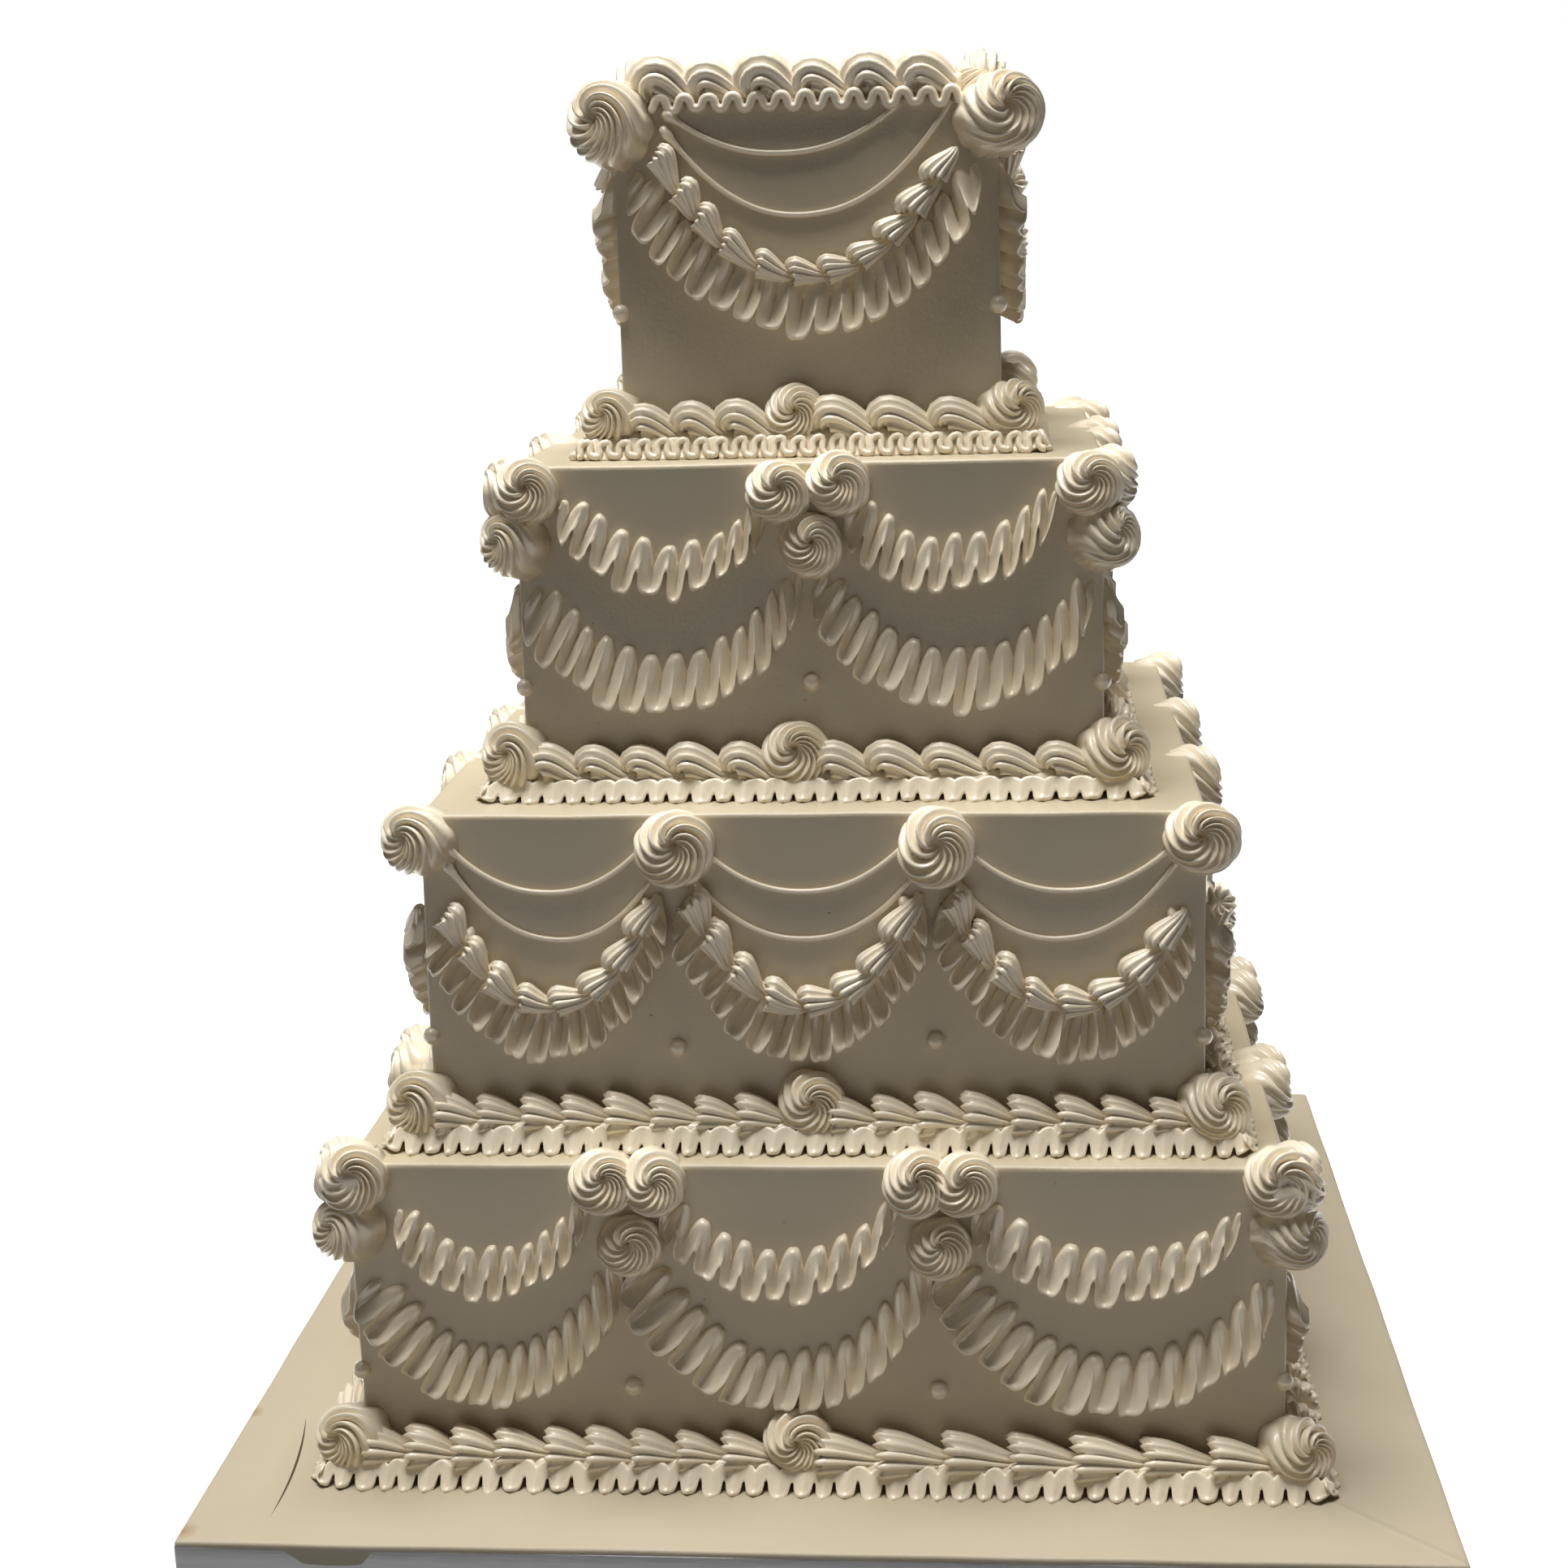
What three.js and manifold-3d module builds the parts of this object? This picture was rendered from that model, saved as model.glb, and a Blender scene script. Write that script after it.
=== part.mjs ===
// Four-tier square wedding cake on its covered board, piped all over with buttercream.
// Units are millimetres, +Z is up, the origin is the middle of the board's underside, the front faces -Y.
// Every tier is one solid of iced cake. Its piping lies against it as separate solids: rosettes at the
// corners, garlands on each wall, and a shell border with a ruffled skirt round the foot of each wall.
// A wall's piping is worked out on the front (x along the wall, z up, "out" away from the wall)
// and turned by quarter turns onto the other three walls.

import * as THREE from 'three';
import { mergeVertices } from 'three/addons/utils/BufferGeometryUtils.js';
import Module from 'manifold-3d';

const wasm = await Module();
wasm.setup();

// ---------------------------------------------------------------- driving dimensions

const GAP = 0.3;
const BOARD = { width: 482, thickness: 13, edgeRadius: 1.2 };
const TIER_EDGE_RADIUS = 1.3;
const PEARL = { radius: 3.6, height: 5.6, sunk: 0.4 };
const THREAD_RADIUS = 1.1;

// Tiers from the bottom up. "stops" are the places along a wall where garlands meet, from its middle.
// Drops are measured down from the tier's top edge. A garland's "clear" is how far its end stays from
// the corner or the stop, and "low" is the drop of its lowest point.
const TIERS = [
  {
    name: 'bottom',
    width: 362,
    height: 128,
    stops: [-72, 48],
    trim: 'double_ruffle',
    cluster: { spread: 10, drop: 9, lowerDrop: 33, radius: 13.6, depth: 13 },
    corner: { inset: 3, drop: 9, lowerDrop: 30, radius: 13.4, depth: 14 },
    upper: {
      corner: { left: { clear: 18, drop: 22 }, right: { clear: 18, drop: 22 } },
      stop: { clear: 15, drop: 15 },
      low: 44,
      height: 19,
      folds: 5,
      high: 8,
    },
    lower: {
      corner: { left: { clear: 7, drop: 50 }, right: { clear: 7, drop: 50 } },
      stop: { clear: 2, drop: 40 },
      low: 87,
      height: 24,
      folds: 7,
      high: 9.5,
    },
    base: { shellsLeft: 9, shellsRight: 7, rosette: 12.8, middle: -7 },
    pearlDrop: 87,
  },
  {
    name: 'lower',
    width: 304,
    height: 132,
    stops: [-53, 48],
    trim: 'shells_and_threads',
    cluster: { drop: 17, radius: 15, depth: 14 },
    corner: { inset: 2.3, drop: 13, radius: 14, depth: 14 },
    threads: [
      {
        corner: { left: { clear: 8, drop: 11 }, right: { clear: 17, drop: 8 } },
        stop: { clear: 9, drop: 12 },
        low: 31,
      },
      {
        corner: { left: { clear: 8, drop: 18 }, right: { clear: 17, drop: 17 } },
        stop: { clear: 7, drop: 23 },
        low: 50,
      },
    ],
    lower: {
      corner: { left: { clear: 6, drop: 40 }, right: { clear: 6, drop: 40 } },
      stop: { clear: 3, drop: 26 },
      low: 82,
      height: 30,
      shells: 8,
      high: 8.5,
    },
    base: { shellsLeft: 8, shellsRight: 8, rosette: 13.2, middle: -1 },
    pearlDrop: 90,
  },
  {
    name: 'upper',
    width: 230,
    height: 131,
    stops: [0.5],
    trim: 'double_ruffle',
    cluster: { spread: 11, drop: 12.5, lowerDrop: 34, radius: 13, depth: 13 },
    corner: { inset: 5.5, drop: 13, lowerDrop: 33, radius: 13, depth: 14 },
    upper: {
      corner: { left: { clear: 20, drop: 22 }, right: { clear: 20, drop: 22 } },
      stop: { clear: 16, drop: 18 },
      low: 43,
      height: 22,
      folds: 5,
      high: 8,
    },
    lower: {
      corner: { left: { clear: 7, drop: 54 }, right: { clear: 7, drop: 54 } },
      stop: { clear: 2, drop: 42 },
      low: 87,
      height: 25,
      folds: 7,
      high: 9.5,
    },
    base: { shellsLeft: 5, shellsRight: 5, rosette: 13.4, middle: -6 },
    pearlDrop: 88,
  },
  {
    name: 'top',
    width: 152,
    height: 139,
    stops: [],
    trim: 'shells_and_threads',
    corner: { drop: 9, radius: 16, depth: 15, diagonal: true },
    threads: [
      { corner: { left: { clear: 21, drop: 2 }, right: { clear: 36, drop: 2 } }, low: 21 },
      { corner: { left: { clear: 19, drop: 2 }, right: { clear: 18, drop: 2 } }, low: 45 },
    ],
    lower: {
      corner: { left: { clear: 11, drop: 32 }, right: { clear: 11, drop: 32 } },
      low: 78,
      height: 32,
      shells: 11,
      high: 9,
    },
    base: { shellsLeft: 3, shellsRight: 3, rosette: 12, middle: -6 },
    crown: {
      shells: 6,
      depth: 16,
      height: 14,
      overhang: 5,
      drop: 5,
      star: { radius: 8, inset: 8.2, depth: 11 },
    },
    pearlDrop: 82,
  },
];

const SIDES = ['front', 'right', 'back', 'left'];
const CORNERS = ['front_right', 'back_right', 'back_left', 'front_left'];

// Border round the foot of a tier: shells lie against the wall on a skirt that stands on the ledge.
const SHELL = { headOut: 12, headTop: 23, tailOut: 7, tailTop: 17, foot: { out: 10, height: 8 } };
const SKIRT = { crestOut: 19.5, troughOut: 15 };
const TURN_LENGTH = 12;
const PAST_CORNER = 10;

const ROSETTE_SIDES = 8;
const ROSETTE_TWIST = 0.5;
const ROSETTE_PIT = 0.7;
const RIDGE = 0.05;
const UNEVENNESS = 0.08;

// ---------------------------------------------------------------- materials

const buttercream = { color: 0xd8cfba, roughness: 0.5, metalness: 0 };
const BUTTERCREAM_SMOOTH = { ...buttercream, name: 'smooth_buttercream' };
const BUTTERCREAM_PIPED = { ...buttercream, color: 0xe0d7c3, name: 'piped_buttercream' };
const BOARD_PAPER = { color: 0xd3cabb, roughness: 0.6, metalness: 0, name: 'covered_board' };

// ---------------------------------------------------------------- helpers for numbers and solids

// Even, repeatable random numbers between -1 and 1 (mulberry32).
function seededDraw(seed) {
  let state = seed >>> 0;
  return () => {
    state = (state + 0x6d2b79f5) >>> 0;
    let mixed = Math.imul(state ^ (state >>> 15), 1 | state);
    mixed = (mixed + Math.imul(mixed ^ (mixed >>> 7), 61 | mixed)) ^ mixed;
    return (((mixed ^ (mixed >>> 14)) >>> 0) / 4294967296) * 2 - 1;
  };
}

function mix(a, b, share) {
  return a + (b - a) * share;
}

function geometryFrom(points, triangles) {
  const geometry = new THREE.BufferGeometry();
  geometry.setAttribute('position', new THREE.Float32BufferAttribute(points.flat(), 3));
  geometry.setIndex(triangles.flat());
  return geometry;
}

function signedVolume(points, triangles) {
  const [a, b, c] = [new THREE.Vector3(), new THREE.Vector3(), new THREE.Vector3()];
  return triangles.reduce((sum, [i, j, k]) => {
    a.fromArray(points[i]);
    b.fromArray(points[j]);
    c.fromArray(points[k]);
    return sum + a.dot(b.cross(c)) / 6;
  }, 0);
}

function outwardGeometry(points, triangles) {
  const inside = signedVolume(points, triangles) < 0;
  return geometryFrom(points, inside ? triangles.map(([i, j, k]) => [i, k, j]) : triangles);
}

// Solid between rails that run side by side round a section. Each rail is a list of { t, p } with t
// rising from 0 to 1; neighbours may have different numbers of points. Rails that start or end in one
// place make a point there, and fans from rail 0 close the ends that stay open.
function railSolid(rails) {
  const points = [];
  const triangles = [];
  const known = new Map();
  const indexOf = ({ p }) => {
    const key = p.map((value) => value.toFixed(4)).join();
    if (!known.has(key)) {
      known.set(key, points.push(p) - 1);
    }
    return known.get(key);
  };
  const addTriangle = (i, j, k) => {
    if (i !== j && j !== k && k !== i) {
      triangles.push([i, j, k]);
    }
  };
  const indices = rails.map((rail) => rail.map(indexOf));
  rails.forEach((rail, r) => {
    const s = (r + 1) % rails.length;
    const next = rails[s];
    let i = 0;
    let j = 0;
    while (i < rail.length - 1 || j < next.length - 1) {
      const stepRail = j === next.length - 1
        || (i < rail.length - 1 && rail[i + 1].t <= next[j + 1].t);
      if (stepRail) {
        addTriangle(indices[r][i], indices[r][i + 1], indices[s][j]);
        i += 1;
      } else {
        addTriangle(indices[r][i], indices[s][j + 1], indices[s][j]);
        j += 1;
      }
    }
  });
  for (let r = 1; r < rails.length - 1; r += 1) {
    addTriangle(indices[0][0], indices[r][0], indices[r + 1][0]);
    addTriangle(indices[0].at(-1), indices[r + 1].at(-1), indices[r].at(-1));
  }
  return outwardGeometry(points, triangles);
}

function toManifold(geometry) {
  const bare = geometry.index ? geometry.clone() : geometry;
  bare.deleteAttribute('normal');
  bare.deleteAttribute('uv');
  const merged = mergeVertices(bare, 1e-4);
  return new wasm.Manifold(new wasm.Mesh({
    numProp: 3,
    vertProperties: new Float32Array(merged.getAttribute('position').array),
    triVerts: new Uint32Array(merged.index.array),
  }));
}

function fromManifold(solid) {
  const { vertProperties, triVerts } = solid.getMesh();
  const geometry = new THREE.BufferGeometry();
  geometry.setAttribute('position', new THREE.Float32BufferAttribute(vertProperties, 3));
  geometry.setIndex([...triVerts]);
  return geometry;
}

function join(geometries) {
  return fromManifold(geometries.map(toManifold).reduce((all, solid) => all.add(solid)));
}

function cut(geometry, cutter) {
  return fromManifold(toManifold(geometry).subtract(toManifold(cutter)));
}

// Square block with crisp upright corners and softened top and bottom edges, standing at z = bottom.
function softBlock(width, height, bottom, edgeRadius) {
  const half = width / 2 - edgeRadius;
  const outline = new THREE.Shape();
  outline.moveTo(-half, -half);
  outline.lineTo(half, -half);
  outline.lineTo(half, half);
  outline.lineTo(-half, half);
  const block = new THREE.ExtrudeGeometry(outline, {
    depth: height - 2 * edgeRadius,
    bevelThickness: edgeRadius,
    bevelSize: edgeRadius,
    bevelSegments: 1,
  });
  block.translate(0, 0, bottom + edgeRadius);
  return block;
}

// ---------------------------------------------------------------- rosettes and pearls

// Swirled mound of a star nozzle: a ridged ring that winds in to a crest round a small pit.
// "right", "up" and "out" are unit vectors; it reaches from "sunk" behind its centre to depth before it.
function rosette({ centre, right, up = [0, 0, 1], out, radius, depth, sunk = 0, draw }) {
  const turn = draw() * Math.PI;
  const ring = (share, forward, twist) => Array.from({ length: ROSETTE_SIDES }, (_, i) => {
    const angle = turn + twist + (2 * Math.PI * i) / ROSETTE_SIDES;
    const ridge = 1 + (i % 2 ? RIDGE : -RIDGE);
    const reach = radius * share * ridge * (1 + UNEVENNESS * 0.5 * draw());
    return centre.map((value, axis) => value
      + reach * (Math.cos(angle) * right[axis] + Math.sin(angle) * up[axis])
      + forward * out[axis]);
  });
  const foot = ring(1, -sunk, 0);
  const crest = ring(0.62, depth, ROSETTE_TWIST);
  const pit = centre.map((value, axis) => value + depth * ROSETTE_PIT * out[axis]);
  const points = [...foot, ...crest, pit];
  const triangles = [];
  for (let i = 0; i < ROSETTE_SIDES; i += 1) {
    const j = (i + 1) % ROSETTE_SIDES;
    triangles.push([i, j, ROSETTE_SIDES + i], [j, ROSETTE_SIDES + j, ROSETTE_SIDES + i]);
    triangles.push([ROSETTE_SIDES + i, ROSETTE_SIDES + j, 2 * ROSETTE_SIDES]);
    if (i > 0 && i < ROSETTE_SIDES - 1) {
      triangles.push([0, j, i]);
    }
  }
  return outwardGeometry(points, triangles);
}

function wallRosette(tier, x, drop, radius, depth, draw) {
  return rosette({
    centre: [x, -tier.width / 2 - GAP, tier.top - drop],
    right: [1, 0, 0],
    out: [0, -1, 0],
    radius,
    depth,
    draw,
  });
}

function cornerRosette(tier, { z, forward, radius, depth, sunk }, draw) {
  const diagonal = Math.SQRT1_2;
  const half = tier.width / 2 + forward * diagonal;
  return rosette({
    centre: [half, -half, z],
    right: [diagonal, diagonal, 0],
    out: [diagonal, -diagonal, 0],
    radius,
    depth,
    sunk,
    draw,
  });
}

// Icing pearl pressed half into the wall, and one that sits astride the corner of two walls.
function wallPearl(tier, x, z) {
  const bead = new THREE.OctahedronGeometry(PEARL.radius).scale(1, PEARL.height / PEARL.radius, 1);
  return bead.translate(x, -tier.width / 2 + PEARL.sunk, z);
}

function cornerPearl(tier, z) {
  const corner = tier.width / 2 - PEARL.sunk;
  return new THREE.OctahedronGeometry(PEARL.radius * 1.2).translate(corner, -corner, z);
}

// ---------------------------------------------------------------- garlands on a wall

// Hanging line between two places on a wall, as a function of t from 0 to 1.
function hangingLine(from, to, lowDrop) {
  const sag = lowDrop - (from.drop + to.drop) / 2;
  return (t) => ({
    x: mix(from.x, to.x, t),
    drop: mix(from.drop, to.drop, t) + sag * (1 - Math.abs(2 * t - 1) ** 2.2),
  });
}

// Place beside a hanging line: "across" is measured up and inwards from it, "out" from the wall.
function besideLine(tier, line, t, across, out) {
  const step = 0.004;
  const before = line(Math.max(0, t - step));
  const after = line(Math.min(1, t + step));
  const run = Math.hypot(after.x - before.x, after.drop - before.drop);
  const here = line(t);
  const normalX = (after.drop - before.drop) / run;
  const normalUp = (after.x - before.x) / run;
  return [
    here.x + across * normalX,
    -tier.width / 2 - GAP - out,
    tier.top - here.drop + across * normalUp,
  ];
}

// A piped line starts and ends in a point and is at its full size a short way in.
function endTaper(t) {
  return Math.min(1, 8 * Math.min(t, 1 - t));
}

// The upper edge of a hanging line bends least, so it takes a point at every second valley only.
function keepsTopPoint(step, steps) {
  return step % 4 === 0 || step === steps;
}

// Ribbon piped back and forth: round folds stand out from the wall, lowest where they hang in lobes.
function ruffleSwag(tier, line, { height, folds, high }, draw) {
  const top = [];
  const crest = [];
  const lobe = [];
  for (let i = 0; i <= 2 * folds; i += 1) {
    const t = i / (2 * folds);
    const onFold = i % 2 === 1;
    const scale = endTaper(t) * (1 + UNEVENNESS * draw());
    const place = (across, out) => besideLine(tier, line, t, across * height * scale, out * scale);
    crest.push({ t, p: place(onFold ? -0.25 : -0.05, onFold ? high : high * 0.4) });
    if (!onFold) {
      lobe.push({ t, p: place(-0.5, 0) });
    }
    if (keepsTopPoint(i, 2 * folds)) {
      top.push({ t, p: place(0.5, 0) });
    }
  }
  return railSolid([top, crest, lobe]);
}

// Row of small shells with a ruffle hanging under it, piped along one hanging line.
function shellSwag(tier, line, { height, shells, high }, draw) {
  const top = [];
  const shellCrest = [];
  const meeting = [];
  const foldCrest = [];
  const lobe = [];
  for (let i = 0; i <= 2 * shells; i += 1) {
    const t = i / (2 * shells);
    const head = i % 2 === 1;
    const scale = endTaper(t) * (1 + UNEVENNESS * draw());
    const place = (across, out) => besideLine(tier, line, t, across * height * scale, out * scale);
    shellCrest.push({ t, p: place(head ? 0.34 : 0.26, head ? high * 0.9 : high * 0.45) });
    foldCrest.push({ t, p: place(head ? -0.3 : -0.15, head ? high : high * 0.45) });
    if (!head) {
      lobe.push({ t, p: place(-0.48, 0) });
    }
    if (keepsTopPoint(i, 2 * shells)) {
      top.push({ t, p: place(0.48, 0) });
      meeting.push({ t, p: place(0.08, high * 0.3) });
    }
  }
  return railSolid([top, shellCrest, meeting, foldCrest, lobe]);
}

// Plain round thread of icing, drawn as a three-sided rod that hangs on the wall.
function thread(tier, line) {
  const samples = 4;
  const rails = [90, 210, 330].map((degrees) => {
    const angle = THREE.MathUtils.degToRad(degrees);
    return Array.from({ length: samples + 1 }, (_, i) => {
      const t = i / samples;
      const radius = i % samples ? THREAD_RADIUS * 1.25 : 0;
      const out = THREAD_RADIUS * 0.7 + radius * Math.sin(angle);
      return { t, p: besideLine(tier, line, t, radius * Math.cos(angle), out) };
    });
  });
  return railSolid(rails);
}

// Stretches of wall between the groups of rosettes, left to right.
function bays(tier) {
  const half = tier.width / 2;
  const edges = [-half, ...tier.stops, half];
  return edges.slice(0, -1).map((left, i) => ({
    left,
    right: edges[i + 1],
    startsAtCorner: i === 0,
    endsAtCorner: i === edges.length - 2,
  }));
}

// Line across a bay. At a corner it ends clear of the corner's rosettes, which are solids of their
// own; at a stop its end is buried in the rosettes there.
function bayLine(bay, { corner, stop, low }) {
  const from = bay.startsAtCorner ? corner.left : stop;
  const to = bay.endsAtCorner ? corner.right : stop;
  return hangingLine(
    { x: bay.left + from.clear, drop: from.drop },
    { x: bay.right - to.clear, drop: to.drop },
    low,
  );
}

function doubleRuffleWall(tier, draw) {
  const pieces = [];
  const { cluster } = tier;
  tier.stops.forEach((x) => {
    pieces.push(wallRosette(tier, x - cluster.spread, cluster.drop, cluster.radius, cluster.depth, draw));
    pieces.push(wallRosette(tier, x + cluster.spread, cluster.drop, cluster.radius, cluster.depth, draw));
    pieces.push(wallRosette(tier, x, cluster.lowerDrop, cluster.radius, cluster.depth, draw));
  });
  bays(tier).forEach((bay) => {
    pieces.push(ruffleSwag(tier, bayLine(bay, tier.upper), tier.upper, draw));
    pieces.push(ruffleSwag(tier, bayLine(bay, tier.lower), tier.lower, draw));
  });
  return join(pieces);
}

function shellsAndThreadsWall(tier, draw) {
  const pieces = [];
  tier.stops.forEach((x) => {
    const { drop, radius, depth } = tier.cluster;
    pieces.push(wallRosette(tier, x, drop, radius, depth, draw));
  });
  bays(tier).forEach((bay) => {
    pieces.push(shellSwag(tier, bayLine(bay, tier.lower), tier.lower, draw));
    if (!tier.crown) {
      tier.threads.forEach((route) => pieces.push(thread(tier, bayLine(bay, route))));
    }
  });
  return join(pieces);
}

// ---------------------------------------------------------------- border round a tier's foot

// Place on the path round a tier's foot. "along" runs from the middle of the wall, past its right
// corner in an arc and on along the next wall; "out" is the distance from the walls.
function roundFoot(tier, along, out, z) {
  const half = tier.width / 2;
  const reach = out + GAP;
  if (along <= half) {
    return [along, -half - reach, z];
  }
  if (along >= half + TURN_LENGTH) {
    return [half + reach, -half + along - half - TURN_LENGTH, z];
  }
  const angle = ((along - half) / TURN_LENGTH) * (Math.PI / 2);
  return [half + reach * Math.sin(angle), -half - reach * Math.cos(angle), z];
}

function footBorder(tier, draw) {
  const half = tier.width / 2;
  const { shellsLeft, shellsRight, rosette: radius, middle } = tier.base;
  const start = -half + PAST_CORNER + GAP;
  const end = half + TURN_LENGTH + PAST_CORNER;
  const floor = tier.bottom;
  const hidden = radius * 0.75;
  const stations = [];
  for (let i = 0; i <= shellsLeft; i += 1) {
    stations.push(mix(start, middle - hidden, i / shellsLeft));
  }
  for (let i = 0; i < shellsRight; i += 1) {
    stations.push(mix(middle + hidden, half - hidden, i / shellsRight));
  }
  const plainFrom = stations.length;
  stations.push(half - hidden, half, half + TURN_LENGTH, end);
  const share = (along) => (along - start) / (end - start);
  const at = (along, out, z) => ({ t: share(along), p: roundFoot(tier, along, out, floor + z) });
  const inner = [start, half, half + TURN_LENGTH, end].map((along) => at(along, 0, 0));
  const skirt = [];
  const foot = [];
  const crest = [];
  const back = [];
  stations.forEach((along, i) => {
    const next = stations[i + 1];
    if (i % 2 === 0 || i >= plainFrom) {
      back.push(at(along, 0, SHELL.tailTop));
      foot.push(at(along, SHELL.foot.out, SHELL.foot.height));
    }
    crest.push(at(along, SHELL.tailOut, SHELL.tailTop - 2));
    skirt.push(at(along, SKIRT.troughOut, 0));
    if (i < plainFrom && i !== shellsLeft) {
      const size = 1 + UNEVENNESS * draw();
      crest.push(at(mix(along, next, 0.4), SHELL.headOut * size, SHELL.headTop * size));
      skirt.push(at(mix(along, next, 0.5), SKIRT.crestOut * (1 + 0.5 * UNEVENNESS * draw()), 0));
    }
  });
  skirt.splice(-2, 0, at(half + TURN_LENGTH / 2, SKIRT.crestOut, 0));
  const strip = railSolid([inner, skirt, foot, crest, back]);
  const height = 16.5;
  const middleRosette = rosette({
    centre: [middle, -half - GAP - 3, floor + height],
    right: [1, 0, 0],
    out: [0, -1, 0],
    radius,
    depth: 13,
    draw,
  });
  const endRosette = cornerRosette(
    tier,
    { z: floor + height, forward: 6, radius, depth: 11, sunk: 3.5 },
    draw,
  );
  return join([strip, middleRosette, endRosette]);
}

// ---------------------------------------------------------------- crown border of the top tier

// Shells that lie along the top edge, with a small zigzag ruffle under their overhang.
function crownBorder(tier, draw) {
  const half = tier.width / 2;
  const { shells, depth, height, overhang, drop } = tier.crown;
  const reach = tier.corner.radius + 2;
  const start = -half + reach;
  const end = half - reach;
  const at = (x, out, z) => ({ t: (x - start) / (end - start), p: [x, -half - GAP - out, tier.top + z] });
  const edge = [];
  const inner = [];
  const crest = [];
  const brow = [];
  const zigzag = [];
  const under = [];
  for (let i = 0; i <= 2 * shells; i += 1) {
    const x = mix(start, end, i / (2 * shells));
    const head = i % 2 === 1;
    const size = 1 + UNEVENNESS * draw();
    crest.push(at(x, -depth * 0.4, head ? height * size : height * 0.55));
    zigzag.push(at(x, 1.4, 0), at(mix(x, x + (end - start) / (2 * shells), 0.5), 4.5, -1));
    if (!head) {
      brow.push(at(x, overhang * size, height * 0.4));
      edge.push(at(x, 0, GAP));
      inner.push(at(x, -depth - GAP, GAP));
      under.push(at(x, 0, -drop));
    }
  }
  zigzag.pop();
  const border = railSolid([edge, inner, crest, brow, zigzag, under]);
  const wall = bays(tier)[0];
  return join([border, ...tier.threads.map((route) => thread(tier, bayLine(wall, route)))]);
}

// ---------------------------------------------------------------- assembly

const cake = new THREE.Group();

function addMesh(parent, name, geometry, finish) {
  const mesh = new THREE.Mesh(geometry, new THREE.MeshStandardMaterial(finish));
  mesh.name = name;
  parent.add(mesh);
}

function quarterTurn(side) {
  const group = new THREE.Group();
  group.rotation.z = (side * Math.PI) / 2;
  cake.add(group);
  return group;
}

// Iced cake of one tier, with the icing pearls pressed into its walls and corners fused on.
function tierBody(tier) {
  const body = softBlock(tier.width, tier.height - GAP, tier.bottom, TIER_EDGE_RADIUS);
  const z = tier.top - tier.pearlDrop;
  const pearls = SIDES.flatMap((_, side) => {
    const beads = [cornerPearl(tier, z), ...tier.stops.map((x) => wallPearl(tier, x, z))];
    return beads.map((bead) => bead.rotateZ((side * Math.PI) / 2));
  });
  return join([body, ...pearls]);
}

// Small star that closes the crown border over each corner.
function starOnTop(tier, draw) {
  const { radius, inset, depth } = tier.crown.star;
  const place = tier.width / 2 - inset;
  return rosette({
    centre: [place, -place, tier.top + GAP],
    right: [1, 0, 0],
    up: [0, 1, 0],
    out: [0, 0, 1],
    radius,
    depth,
    draw,
  });
}

function cornerGroup(tier, draw) {
  const { inset, drop, lowerDrop, radius, depth, diagonal } = tier.corner;
  const half = tier.width / 2;
  const clearance = new THREE.BoxGeometry(tier.width + 2 * GAP, tier.width + 2 * GAP, 2 * tier.height);
  clearance.translate(0, 0, tier.top - tier.height);
  const onCorner = (fall) => cornerRosette(
    tier,
    { z: tier.top - fall, forward: 1, radius, depth, sunk: radius * 0.45 },
    draw,
  );
  if (diagonal) {
    return cut(join([onCorner(drop), starOnTop(tier, draw)]), clearance);
  }
  const pieces = [wallRosette(tier, half - inset, drop, radius, depth, draw)];
  if (lowerDrop) {
    const onNextWall = wallRosette(tier, -half + inset, drop, radius, depth, draw);
    pieces.push(onNextWall.rotateZ(Math.PI / 2));
    pieces.push(onCorner(lowerDrop));
  }
  return cut(join(pieces), clearance);
}

const trimWall = { double_ruffle: doubleRuffleWall, shells_and_threads: shellsAndThreadsWall };
addMesh(cake, 'board', softBlock(BOARD.width, BOARD.thickness, 0, BOARD.edgeRadius), BOARD_PAPER);

let ledge = BOARD.thickness;
TIERS.forEach((tier, number) => {
  tier.bottom = ledge + GAP;
  tier.top = ledge + tier.height;
  ledge = tier.top;
  addMesh(cake, `${tier.name}_tier`, tierBody(tier), BUTTERCREAM_SMOOTH);
  SIDES.forEach((side, turn) => {
    const wall = quarterTurn(turn);
    const draw = seededDraw(100 * number + turn + 1);
    const garland = trimWall[tier.trim](tier, draw);
    addMesh(wall, `${tier.name}_garland_${side}`, garland, BUTTERCREAM_PIPED);
    addMesh(wall, `${tier.name}_rosettes_${CORNERS[turn]}`, cornerGroup(tier, draw), BUTTERCREAM_PIPED);
    addMesh(wall, `${tier.name}_foot_border_${side}`, footBorder(tier, draw), BUTTERCREAM_PIPED);
    if (tier.crown) {
      addMesh(wall, `${tier.name}_crown_border_${side}`, crownBorder(tier, draw), BUTTERCREAM_PIPED);
    }
  });
});

export default cake;
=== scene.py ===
import math

import bpy
import numpy as np
from mathutils import Matrix


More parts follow.
